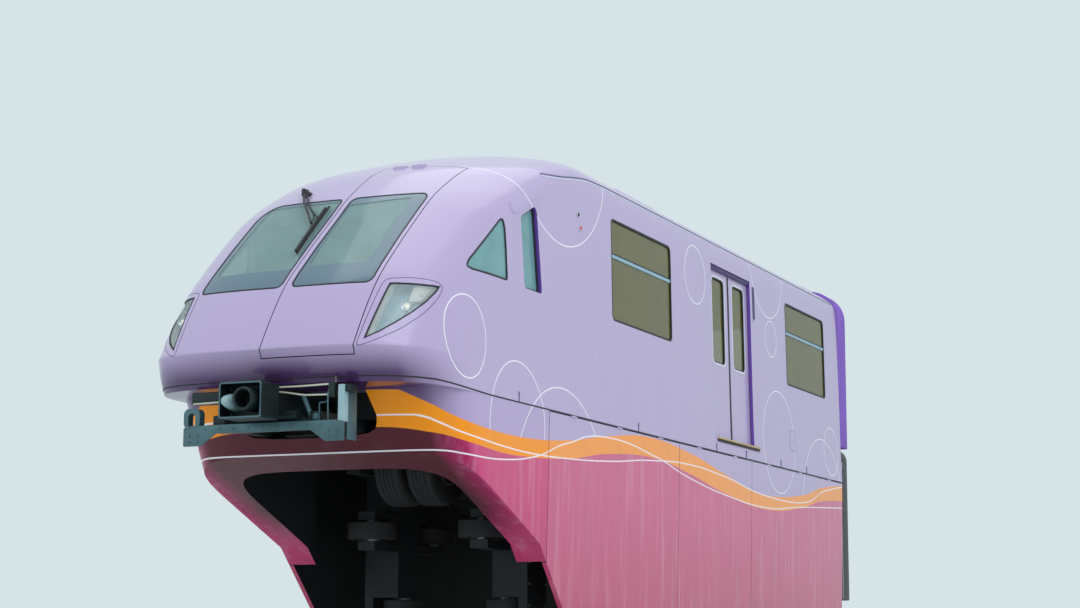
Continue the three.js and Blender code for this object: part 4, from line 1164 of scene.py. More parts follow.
class MONORAIL_OT_nose(bpy.types.Operator):
    """Nose shell with its openings, and the emergency door that is cut from it"""

    bl_idname = "monorail.nose"
    bl_label = "Nose"

    def execute(self, context):
        door = FRONT_DOOR
        hole = box(door["x0"], door["x1"], -FAR, door["y1"], door["z0"], FAR, 3)
        blade = box(
            door["x0"] + MOVE_GAP,
            door["x1"] - MOVE_GAP,
            -FAR,
            door["y1"] - MOVE_GAP,
            door["z0"] + MOVE_GAP,
            FAR,
            3,
        )
        screens = {name: prism("y", screen_outline(name), -FAR, -10.6) for name in SCREENS}
        lamps = [prism("y", headlight_outline(side), -FAR, -11.3, 2) for side in SIDES]
        quarter = softened(QUARTER_WINDOW, 0.03)
        y_axis, z_axis = FRONT_DOOR_AXIS
        bores = [
            turned("x", ((0.0105, low - 0.002), (0.0105, high + 0.002)), (0, y_axis, z_axis), 24)
            for low, high in FRONT_DOOR_BARRELS
        ]
        blank = [
            ("DIFFERENCE", [hull(UPPER, SHELL, 1, BELLY_Z)]),
            ("INTERSECT", [everywhere(y=(-FAR, NOSE_SEAM_Y))]),
        ]
        belly = box(-1.18, 1.18, -11.7, NOSE_SEAM_Y + 0.01, BELT_Z - 0.01, BELLY_Z + 0.01)
        cab_window = softened(CAB_WINDOW, 0.045)
        cuts = [
            ("DIFFERENCE", [screens["windscreen_right"], *lamps]),
            ("DIFFERENCE", [hole]),
            ("DIFFERENCE", bores),
            ("DIFFERENCE", [prism("x", quarter, -FAR, FAR)]),
            ("DIFFERENCE", [prism("x", cab_window, 0, FAR, 2)]),
            ("DIFFERENCE", [box(-FAR, 0, *CAB_DOOR_Y, FLOOR_Z, CAB_DOOR_TOP_Z, 2)]),
            ("DIFFERENCE", [belly]),
        ]
        skin, slot = [hull(UPPER)], "body_panel"
        carved("nose_skin", skin, SHELL_FINISHES, blank + cuts, stands_for=("nose_shell",))
        steps = blank + [("DIFFERENCE", [screens["windscreen_left"]]), ("INTERSECT", [blade])]
        carved("front_door_skin", skin, SHELL_FINISHES, steps, "front_door", ("front_door",))
        hinges = []
        for low, high in FRONT_DOOR_BARRELS:
            barrel = ((0.006, low), (0.01, low + 0.003), (0.01, high - 0.003), (0.006, high))
            hinges.append(turned("x", barrel, (0, y_axis, z_axis), 24))
            hinges.append(
                block(low, high, y_axis - 0.07, y_axis - 0.004, z_axis - 0.1, z_axis - 0.004, 0.006)
            )
        piece("front_door_hinges", hinges, ("livery_paint",), body="front_door")
        return {"FINISHED"}


class MONORAIL_OT_windscreens(bpy.types.Operator):
    """Windscreen panes with their painted borders, gaskets and the wiper"""

    bl_idname = "monorail.windscreens"
    bl_label = "Windscreens"

    def execute(self, context):
        for name in SCREENS:
            body = "front_door" if name == "windscreen_left" else "car_body"
            outline = refined(inset_outline(screen_outline(name), 0.001), 0.03)
            glass_pane = pane(on_front, outline, 0.006, 0.014, 12)
            piece(name + "_pane", [glass_pane], ("screen_glass",), body, (name,))
            rim = inset_outline(screen_outline(name), 0.001)
            clear = softened(FRIT[name], 0.02, 8)
            border = band(on_front, divided(rim, 16), divided(clear, 16), 0.003, 0.0055, 12)
            piece(name + "_border", [border], ("screen_frit",), body)
            width = context.scene.monorail.glazing.gasket * 0.7
            gasket(name + "_gasket", on_front, screen_outline(name), width, 0.005, 0.004, 0.03, body)
        self.wiper()
        return {"FINISHED"}

    def wiper(self):
        """Pantograph wiper: a boss above the pane, two thin arms and a blade with its spring strip."""
        def over(points, lift):
            flat = np.array(points)
            return on_front(flat[:, 0], flat[:, 1], -lift)

        base = over([(-0.50, 2.74)], 0.02)[0]
        boss = turned("y", ((0.012, -0.05), (0.032, -0.045), (0.036, 0.0), (0.034, 0.05)), base, 24)
        above = over([(-0.58, 2.80)], 0.018)[0]
        forms = [boss, turned("y", ((0.01, -0.04), (0.022, -0.035), (0.024, 0.03)), above, 20)]
        rods = (
            {
                "path": ((-0.50, 2.74), (-0.40, 2.62), (-0.26, 2.48), (-0.15, 2.36)),
                "lift": 0.055,
                "radius": 0.011,
            },
            {
                "path": ((-0.56, 2.79), (-0.44, 2.70), (-0.28, 2.54), (-0.13, 2.42)),
                "lift": 0.05,
                "radius": 0.009,
            },
            {
                "path": ((-0.125, 2.53), (-0.12, 2.38), (-0.11, 2.2), (-0.10, 2.05)),
                "lift": 0.04,
                "radius": 0.012,
            },
            {
                "path": ((-0.115, 2.55), (-0.115, 2.4), (-0.10, 2.2), (-0.09, 2.03)),
                "lift": 0.018,
                "radius": 0.010,
            },
            {"path": ((-0.20, 2.46), (-0.16, 2.38), (-0.12, 2.26)), "lift": 0.035, "radius": 0.006},
        )
        forms += [tube(route(over(rod["path"], rod["lift"])), rod["radius"], 8) for rod in rods]
        piece("wiper", forms, ("gasket_rubber",))


class MONORAIL_OT_headlights(bpy.types.Operator):
    """Headlights: clear lens, gasket, bezel line, housing and two round lamps behind"""

    bl_idname = "monorail.headlights"
    bl_label = "Headlights"

    def execute(self, context):
        for side, sign in (("left", 1), ("right", -1)):
            outline = softened(headlight_outline(side), 0.03)
            lens = refined(inset_outline(outline, 0.001), 0.025)
            cover = pane(on_front, lens, 0.005, 0.010, 8)
            name = f"headlight_{side}"
            piece(name + "_lens", [cover], ("lamp_glass",), stands_for=(name,))
            gasket(name + "_gasket", on_front, outline, 0.013, 0.005, 0.003, 0.025, inset=0.006)
            bezel = np.array(BEZEL) if sign > 0 else mirrored(BEZEL)
            seam = refined(softened(bezel, 0.06), 0.03)
            line = bead(on_front, seam, flat_ring(0.006, 0.0015, 0.001), 0.0)
            piece(name + "_bezel", [line], ("gutter_slate",))
            rim = inset_outline(outline, 0.001)
            inner = inset_outline(outline, 0.012)
            corners = ((rim, 0.012), (rim, 0.078), (inner, 0.078), (inner, 0.012))
            walls = loft([on_front(edge[:, 0], edge[:, 1], depth) for edge, depth in corners], 0, wrap=True)
            back = pane(on_front, refined(inner, 0.03), 0.070, 0.076, 6, 1)
            flank = np.array(((1.10, 1.50), (1.17, 1.52), (1.192, 1.62), (1.19, 1.69), (1.10, 1.688)))
            flank = flank if sign > 0 else mirrored(flank)
            cheek = pane(on_front, refined(softened(flank, 0.02), 0.02), 0.030, 0.066, 4, 0)
            piece(name + "_housing", [walls, back, cheek], ("lamp_sand", "lamp_slate"))
            rings, bulbs = [], []
            for x, z, radius in ((1.085, 1.47, 0.042), (1.135, 1.56, 0.030)):
                spot = on_front(np.array(sign * x), np.array(z), 0.05)
                bowl = ((0.35, 0.014), (0.7, 0.006), (0.92, -0.012), (1.0, -0.014), (1.0, 0.02))
                rings.append(turned("y", [(radius * part, along) for part, along in bowl], spot, 28))
                bulbs.append(
                    turned("y", ((0.004, -0.014), (radius * 0.3, -0.006), (radius * 0.34, 0.016)), spot, 16)
                )
            piece(name + "_lamps", rings, ("lamp_chrome",))
            piece(name + "_bulbs", bulbs, ("lamp_bulb",))
        return {"FINISHED"}


class MONORAIL_OT_cab_sides(bpy.types.Operator):
    """Quarter windows, the cab's side window with its drip strip, and the cab door"""

    bl_idname = "monorail.cab_sides"
    bl_label = "Cab sides"

    def execute(self, context):
        quarter = softened(QUARTER_WINDOW, 0.03)
        for side, (sign, surface) in SIDES.items():
            light = pane(surface, refined(inset_outline(quarter, 0.001), 0.025), 0.008, 0.018, 8)
            names = (f"quarter_{side}_pane", ("quarter_window_" + side,))
            piece(names[0], [light], ("cab_glass",), stands_for=names[1])
            gasket(f"quarter_{side}_gasket", surface, quarter, 0.018, 0.006, 0.004, 0.02, inset=0.008)
        window = softened(CAB_WINDOW, 0.045)
        light = pane(on_left, refined(inset_outline(window, 0.001), 0.03), 0.045, 0.053, 6)
        piece("cab_window_pane", [light], ("cab_glass",), stands_for=("cab_window_left",))
        gasket("cab_window_gasket", on_left, window, 0.022, 0.008, 0.04, 0.02)
        drip = route([(-10.60, 2.60, 0), (-10.55, 2.53, 0), (-10.40, 2.58, 0), (-9.95, 2.79, 0)], 40)
        run = on_left(drip[:, 0], drip[:, 1], -0.003)
        lip = rounded(-0.004, 0.004, -0.012, 0.012, 0.003, 2)
        piece("cab_window_drip", [tube(run, 0.01, section=lip)], ("livery_paint",))
        self.cab_door()
        return {"FINISHED"}

    def cab_door(self):
        y = (CAB_DOOR_Y[0] + MOVE_GAP, CAB_DOOR_Y[1] - MOVE_GAP)
        z = (FLOOR_Z + MOVE_GAP, CAB_DOOR_TOP_Z - MOVE_GAP)
        light = rounded(y[0] + 0.09, y[1] - 0.07, 1.90, 2.56, 0.05)
        barrels = []
        for low, high in CAB_DOOR_BARRELS:
            barrels.append(turned("z", ((0.01, low), (0.01, high)), (*CAB_DOOR_AXIS, 0), 24))
            barrels.append(
                box(-1.285, CAB_DOOR_AXIS[0], CAB_DOOR_AXIS[1] - 0.045, CAB_DOOR_AXIS[1] - 0.004, low, high)
            )
        leaf = layer("cab_leaf", UPPER, LEAF_DEPTH[0], LEAF_DEPTH[1], {"x": (-FAR, 0), "y": y, "z": z})
        leaf.data.shade_smooth()
        leaf.data.set_sharp_from_angle(angle=math.radians(30))
        leaf.name = "cab_door_skin"
        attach(leaf, "cab_door_right")
        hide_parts("cab_door_right")
        piece("cab_door_hinges", barrels, ("livery_paint",), body="cab_door_right")
        dark = pane(on_right, refined(light, 0.03), LEAF_DEPTH[0] - 0.003, LEAF_DEPTH[0] + 0.004, 6)
        piece("cab_door_light", [dark], ("cab_glass",), body="cab_door_right")
        seal = bead(on_right, refined(light, 0.02), flat_ring(0.02, 0.005), LEAF_DEPTH[0] - 0.002)
        piece("cab_door_gasket", [seal], ("gasket_rubber",), body="cab_door_right")
        grip = tube(
            route(
                [(-1.31, -10.33, 1.56), (-1.27, -10.34, 1.55), (-1.27, -10.34, 1.38), (-1.31, -10.33, 1.37)],
                20,
            ),
            0.007,
            10,
            guide=(0, 1, 0),
        )
        piece("cab_door_grip", [grip], ("frame_aluminium",), body="cab_door_right")


class MONORAIL_OT_side_windows(bpy.types.Operator):
    """Saloon windows: tinted panes, gaskets, thin frames and the bar of the tilting upper light"""

    bl_idname = "monorail.side_windows"
    bl_label = "Side windows"

    def execute(self, context):
        width = context.scene.monorail.glazing.gasket
        for side, (sign, surface) in SIDES.items():
            for which in WINDOWS:
                outline = window_outline(which)
                name = f"window_{side}_{which}"
                glass_pane = pane(surface, refined(inset_outline(outline, 0.001), 0.05), 0.014, 0.022, 5)
                piece(name + "_pane", [glass_pane], ("saloon_glass",), stands_for=(name,))
                gasket(name + "_gasket", surface, outline, width, 0.007, 0.007, 0.04)
                y0, y1 = WINDOWS[which]
                rail = rounded(y0 + width, y1 - width, WINDOW_BAR_Z - 0.016, WINDOW_BAR_Z + 0.016, 0.004, 2)
                frame_line = rounded(
                    y0 + width, y1 - width, WINDOW_BAR_Z + 0.02, WINDOW_BAR_Z + 0.03, 0.003, 2
                )
                bars = [
                    pane(surface, refined(rail, 0.1), 0.004, 0.0135, 2, 0),
                    pane(surface, refined(frame_line, 0.1), 0.006, 0.0135, 2, 1),
                ]
                piece(name + "_bar", bars, ("window_bar", "gasket_rubber"))
        return {"FINISHED"}


class MONORAIL_OT_door_leaves(bpy.types.Operator):
    """Sliding door leaves with their panes, frames, gaskets and centre seals"""

    bl_idname = "monorail.door_leaves"
    bl_label = "Door leaves"

    def execute(self, context):
        near, far = LEAF_DEPTH
        for side, (sign, surface) in SIDES.items():
            outside = span(sign, 1.0, FAR)
            for end in ("front", "rear"):
                name = f"door_leaf_{side}_{end}"
                y = leaf_span(end)
                centre = sum(y) / 2
                half, z0, z1 = LEAF_WINDOW["half"], LEAF_WINDOW["z0"], LEAF_WINDOW["z1"]
                outline = rounded(centre - half, centre + half, z0, z1, LEAF_WINDOW["radius"])
                limits = {"x": outside, "y": y, "z": (FLOOR_Z + SEAT_GAP, DOOR_TOP_Z + MOVE_GAP)}
                steps = [
                    ("DIFFERENCE", [hull(UPPER, far, 1)]),
                    ("INTERSECT", [everywhere(**limits)]),
                    ("DIFFERENCE", [prism("x", outline, *outside)]),
                ]
                carved(
                    name + "_skin", [hull(UPPER, near)], SHELL_FINISHES, steps, name, (name,)
                )
                glass_pane = pane(
                    surface, refined(inset_outline(outline, 0.001), 0.04), near + 0.02, near + 0.026, 5
                )
                piece(name + "_pane", [glass_pane], ("saloon_glass",), body=name)
                rim = refined(inset_outline(outline, -0.007), 0.03)
                trim = bead(surface, rim, flat_ring(0.020, 0.004, 0.001), near)
                piece(name + "_rim", [trim], ("gutter_light",), body=name)
                gasket(name + "_gasket", surface, outline, 0.018, 0.009, near + 0.012, 0.03, name)
                edge = (y[1] - 0.018, y[1] - 0.001) if end == "front" else (y[0] + 0.001, y[0] + 0.018)
                strip = refined(rounded(*edge, FLOOR_Z + 0.004, DOOR_TOP_Z - 0.06, 0.004, 2), 0.08)
                lip = pane(surface, strip, near - 0.003, near + 0.006, 2)
                piece(name + "_seal", [lip], ("gasket_rubber",), body=name)
        return {"FINISHED"}


class MONORAIL_OT_skirts(bpy.types.Operator):
    """Valance under the nose and the hinged skirt panels"""

    bl_idname = "monorail.skirts"
    bl_label = "Skirts"

    def execute(self, context):
        finishes = ("livery_paint", "chassis_black", "recess_black", "seam_dark")
        recess = np.vstack((RECESS, mirrored(RECESS)))
        steps = [
            ("DIFFERENCE", [hull(VALANCE_SPACE, VALANCE_FRONT, 1)]),
            ("DIFFERENCE", [below_slant()]),
            # The recess's walls take the near-black finish as painted shade.
            ("DIFFERENCE", [prism("y", recess, -FAR, -11.4, 2)]),
            ("INTERSECT", [everywhere(y=(-FAR, NOSE_SEAM_Y), z=(-FAR, BELT_Z - SEAT_GAP))]),
        ]
        carved(
            "valance_skin",
            [hull(LOWER)],
            ("valance_paint", *finishes[1:]),
            steps,
            stands_for=("nose_valance",),
        )
        for i, (front, rear) in enumerate(zip(SKIRT_SEAMS[:-1], SKIRT_SEAMS[1:])):
            for side, (sign, surface) in SIDES.items():
                name = f"skirt_{side}_{i + 1}"
                end = rear - (0 if i < 2 else MOVE_GAP)
                limits = {"x": half_space(side), "y": (front + MOVE_GAP, end), "z": (-FAR, BELT_Z - MOVE_GAP)}
                barrels = [
                    turned(
                        "y", ((BARREL_R, low), (BARREL_R, high)), (sign * SKIRT_AXIS[0], 0, SKIRT_AXIS[1]), 20
                    )
                    for low, high in barrel_spans(front, rear)
                ]
                steps = [
                    ("DIFFERENCE", [hull(LOWER, SKIRT, 1)]),
                    ("DIFFERENCE", [below_slant()]),
                    ("INTERSECT", [everywhere(**limits, finish=3)]),
                    ("UNION", barrels),
                ]
                carved(name + "_skin", [hull(LOWER)], finishes, steps, name, (name,))
                if i:
                    self.seam_lip(side, name, front)
        self.belt_seal()
        return {"FINISHED"}

    def seam_lip(self, side, name, seam):
        """Dark rubber lip on a panel's front edge, which fills most of the seam and swings with the panel."""
        limits = {
            "x": half_space(side),
            "y": (seam + 0.002, seam + MOVE_GAP + 0.0005),
            "z": (SKIRT_Z + 0.01, BELT_Z - 0.02),
        }
        lip = layer("lip", LOWER, 0.007, SKIRT - 0.003, limits, ("seam_dark", "seam_dark"))
        lip.name = name + "_lip"
        settle(lip, name, (), 30)

    def belt_seal(self):
        """Rubber strip along the belt: its path is the skin's plan outline, and rises round the front."""
        angle = np.linspace(-math.pi / 2, math.pi / 2, 121)
        z = BELT_Z + 0.007 + SEAL_RISE * np.clip(np.cos(angle) * 1.6, 0, 1) ** 2
        half, front, side, power = UPPER.plan(z, 0.0)
        sine, cosine = np.abs(np.sin(angle)), np.cos(angle).clip(0)
        reach = ((sine / half) ** power + (cosine / (side - front)) ** power) ** (-1 / power)
        nose = np.stack((reach * np.sin(angle), side - reach * cosine, z), -1)
        back = np.linspace(REAR_Y - 0.005, side[0] + 0.3, 12)
        left = np.stack((np.full(12, half[0]), back[::-1], np.full(12, z[0])), -1)
        right = np.stack((np.full(12, -half[0]), back, np.full(12, z[0])), -1)
        section = rounded(-0.003, 0.003, -0.006, 0.006, 0.0015, 2)
        piece(
            "belt_seal",
            [tube(np.vstack((right, nose, left)), 0.0, section=section)],
            ("seam_dark",),
        )


class MONORAIL_OT_gangway(bpy.types.Operator):
    """Rear end wall, the car's half of the bellows and the black piece below them"""

    bl_idname = "monorail.gangway"
    bl_label = "Gangway"

    def execute(self, context):
        section = softened(COVER_SECTION, 0.05)
        cover = carve(
            "rear_cover",
            [plate("y", section, COVERS[1][0], REAR_Y, COVER_EDGE)],
            SHELL_FINISHES,
            [("DIFFERENCE", [hull(UPPER, SHELL / 2)])],
        )
        reach = GANGWAY["plate_half"]
        plate_z = (FLOOR_Z - GANGWAY["plate"], FLOOR_Z)
        floor_plate = box(-reach, reach, REAR_Y - 0.01, GANGWAY["plate_rear"], *plate_z, 1)
        steps = [
            ("INTERSECT", [everywhere(y=(-1.5, REAR_Y))]),
            ("UNION", cover),
            ("DIFFERENCE", [box(-GANGWAY["half"], GANGWAY["half"], -FAR, FAR, FLOOR_Z, GANGWAY["top"], 1)]),
            ("INTERSECT", [everywhere(y=(REAR_Y - SHELL + SEAT_GAP, REAR_Y))]),
            ("UNION", [floor_plate]),
        ]
        carved(
            "end_wall_skin", [hull(UPPER)], SHELL_FINISHES, steps, stands_for=("rear_end_wall",)
        )
        self.bellows()
        self.apron()
        return {"FINISHED"}

    def bellows(self):
        """Folds along y: the outline draws in by the depth times |sin| of the fold's angle to the power
        0.7."""
        size = BELLOWS
        place = np.linspace(0, 1, size["folds"] * 12 + 1)
        tuck = size["depth"] * np.abs(np.sin(math.pi * size["folds"] * place)) ** 0.7
        y = (REAR_Y + SEAT_GAP) * (1 - place)
        radii = (0.01, 0.01, size["radius"], size["radius"])
        outer = rounded(-size["half"], size["half"], size["bottom"], size["top"], radii, 14)
        outer = refined(outer, 0.08)
        rows = [spread("y", inset_outline(outer, t), at) for t, at in zip(tuck, y)]
        inner = inset_outline(outer, size["thick"])
        rows += [spread("y", inner, y[-1]), spread("y", inner, y[0])]
        foot = BELLOWS_FOOT
        steps = [("DIFFERENCE", [box(-foot["half"], foot["half"], -FAR, FAR, 0, foot["top"])])]
        folds = [loft(rows, 0, wrap=True)]
        node = ("gangway_bellows",)
        carved("bellows_folds", folds, ("bellows_cloth",), steps, "car_body", node, 50)

    def apron(self):
        """Two upright rubber bars with a rounded head, a light edge and a row of small teeth."""
        forms = []
        size = APRON
        front, rear = REAR_Y + 0.002, -0.008
        for sign in (1, -1):
            heads = (0.02, size["head"]) if sign < 0 else (size["head"], 0.02)
            inner, outer = span(sign, size["inner"], size["outer"])
            bar = rounded(inner, outer, size["bottom"], size["top"], (0.02, 0.02, *heads))
            forms.append(plate("y", bar, front, rear, 0.01))
            # Pale metal strip down each bar's outer edge: painted highlight on the rubber.
            x = sign * (size["outer"] - 0.002)
            edge = [(x, -0.30, -0.68), (x, -0.30, 0.6), (x, -0.28, 1.0), (x, -0.24, 1.12)]
            forms.append(pipe(edge, 0.006, 1, 40, 8, (1, 0, 0)))
            tooth_x = span(sign, 1.32, 1.329)
            forms += [block(*tooth_x, -0.15, -0.10, z, z + 0.04, 0.003) for z in np.linspace(-0.6, 1.1, 16)]
        forms.append(block(-1.14, 1.14, front, rear, *size["tie"], 0.01))
        finishes = ("apron_rubber", "frame_aluminium")
        piece("apron_bars", forms, finishes, stands_for=("gangway_apron",))


class MONORAIL_OT_coupler(bpy.types.Operator):
    """Coupler gear under the nose: bumper beam, head in its hood, pipes, posts and brackets"""

    bl_idname = "monorail.coupler"
    bl_label = "Coupler gear"

    def execute(self, context):
        finishes = ("gear_steel", "gear_dark", "pipe_cream", "bolt_zinc", "gear_light")
        self.beam(finishes)
        self.head(finishes)
        self.pipes(finishes)
        return {"FINISHED"}

    def beam(self, finishes):
        corners = (
            (-0.76, 0.345), (-0.59, 0.345), (-0.445, 0.445), (0.445, 0.445), (0.59, 0.345),
            (0.76, 0.345), (0.76, 0.50), (0.70, 0.515), (-0.60, 0.515), (-0.76, 0.50),
        )
        face = plate("y", softened(corners, 0.012), BUMPER_Y["face"], BUMPER_Y["back"], 0.004)
        flange_y = (BUMPER_Y["flange"], BUMPER_Y["inner"])
        upper_flange = block(-0.70, 0.70, *flange_y, 0.500, 0.515, 0.004)
        lower_flange = block(-0.44, 0.44, *flange_y, 0.445, 0.458, 0.004)
        arms = [block(*span(s, 0.40, 0.52), -12.45, HEADSTOCK_Y, 0.486, 0.60, 0.01, 1) for s in (-1, 1)]
        post = block(0.702, 0.758, BUMPER_Y["face"] + 0.001, BUMPER_Y["inner"], 0.50, 0.798, 0.006, 4)
        post_web = block(0.74, 0.756, -12.45, -12.30, 0.36, 0.798, 0.004)
        post_head = block(0.70, 0.80, -12.50, -12.36, 0.74, 0.80, 0.008, 1)
        loop_outer = rounded(-0.758, -0.602, 0.49, 0.658, 0.05, 6)
        loop_inner = rounded(-0.715, -0.645, 0.50, 0.62, 0.033, 6)
        loop = hollow("y", loop_outer, loop_inner, -12.52, -12.445)
        spots = [(x, BUMPER_Y["face"], z) for x in (-0.70, -0.62, 0.62, 0.70) for z in (0.38, 0.43)]
        spots += [(x, BUMPER_Y["face"], 0.48) for x in np.linspace(-0.55, 0.55, 9)]
        bolts = bolt_heads(spots, "y", 0.010, 0.006, 0)
        forms = [face, upper_flange, lower_flange, *arms, post, post_web, post_head, loop, *bolts]
        piece("bumper_beam", forms, finishes, stands_for=("coupler_beam",))

    def head(self, finishes):
        """Hood: an open box of thin plates. In it the round cup, its rim and the cone beside it."""
        shank = block(-0.09, 0.09, -12.6, HEADSTOCK_Y, 0.60, 0.78, 0.015, 1)
        half, bottom, top, wall = (HOOD[key] for key in ("half", "bottom", "top", "wall"))
        outer = rounded(-half, half, bottom, top, 0.02, 4)
        inner = rounded(wall - half, half - wall, bottom + wall, top - wall, 0.012, 4)
        hood = hollow("y", outer, inner, HOOD["front"], HOOD["rear"], 1)
        # Lighter ring round the hood's mouth: painted highlight on its front edges.
        rim = hollow("y", outer, inner, HOOD["front"] - 0.002, HOOD["front"] + 0.008)
        plate_back = block(-0.186, 0.186, -12.72, -12.60, 0.534, 0.801, 0.01, 1)
        bore = ((0.010, 0.10), (0.066, 0.10), (0.072, -0.055))
        rim_and_wall = ((0.078, -0.062), (0.092, -0.06), (0.095, -0.05), (0.095, 0.12))
        cup = turned("y", bore + rim_and_wall, CUP, 36, 1)
        nose = ((0.006, -0.065), (0.022, -0.06), (0.040, -0.035), (0.060, 0.03), (0.070, 0.11), (0.072, 0.14))
        cone = turned("y", nose, CONE, 30, 4)
        spots = [(x, -12.722, z) for x in (-0.165, 0.165) for z in (0.56, 0.77)]
        bolts = bolt_heads(spots, "y", 0.010, 0.008, 0)
        spots = [(half, y, z) for y in (-12.80, -12.66) for z in (0.56, 0.67, 0.78)]
        side_bolts = bolt_heads(spots, "x", 0.009, 0.006, 1)
        forms = [shank, hood, rim, plate_back, cup, cone, *bolts, *side_bolts]
        piece("coupler_hood", forms, finishes, stands_for=("coupler_head",))

    def pipes(self, finishes):
        """Two cream pipes on the right and one on the left, with the valve, strut, ball, hook and stem."""
        path = [(0.02, -12.5, 0.80), (0.3, -12.5, 0.80), (0.64, -12.49, 0.808)]
        high = pipe(path, 0.008, 2, 20, 10, UPRIGHT)
        path = [(-0.01, -12.5, 0.78), (0.2, -12.5, 0.755), (0.42, -12.5, 0.725), (0.645, -12.49, 0.722)]
        low = pipe(path, 0.007, 2, 24, 10, UPRIGHT)
        path = [(-0.70, -12.47, 0.70), (-0.45, -12.48, 0.705), (-0.2, -12.5, 0.72)]
        left = pipe(path, 0.008, 2, 20, 10, UPRIGHT)
        valve = block(0.60, 0.66, -12.50, -12.46, 0.70, 0.82, 0.006, 1)
        rod = np.linspace((0.327, -12.42, 0.73), (0.422, -12.42, 0.52), 8)
        strut = tube(rod, 0.02, 12, 0, (0, 1, 0))
        half_ball = ((0.004, -0.045), (0.026, -0.038), (0.043, -0.014))
        profile = (*half_ball, *((radius, -along) for radius, along in half_ball[::-1]))
        ball = turned("y", profile, (0.462, -12.42, 0.553), 24)
        hook = pipe([(0.60, -12.47, 0.81), (0.60, -12.50, 0.70), (0.60, -12.49, 0.52)], 0.007, 0, 16, 10)
        bracket = pipe([(0.50, -12.46, 0.52), (0.50, -12.46, 0.66), (0.57, -12.46, 0.67)], 0.006, 0, 16, 8)
        profile = ((0.02, 0.0), (0.05, 0.004), (0.05, 0.20), (0.02, 0.204))
        cylinder = turned("x", profile, (0.10, -12.44, 0.57), 24, 1)
        box_left = block(-0.74, -0.44, -12.44, -12.34, 0.70, 0.80, 0.01, 1)
        rod = np.linspace((0.64, -12.44, 0.80), (0.634, -12.452, 0.985), 6)
        stem = tube(rod, 0.006, 8, 3, (0, 1, 0))
        profile = ((0.003, -0.02), (0.016, -0.012), (0.019, 0.0), (0.016, 0.012), (0.003, 0.02))
        knob = turned("z", profile, (0.634, -12.46, 0.99), 16, 3)
        forms = [high, low, left, valve, strut, ball, hook, bracket, cylinder, box_left]
        piece("coupler_pipes", forms, finishes)
        piece("lip_stem", [stem, knob], finishes)


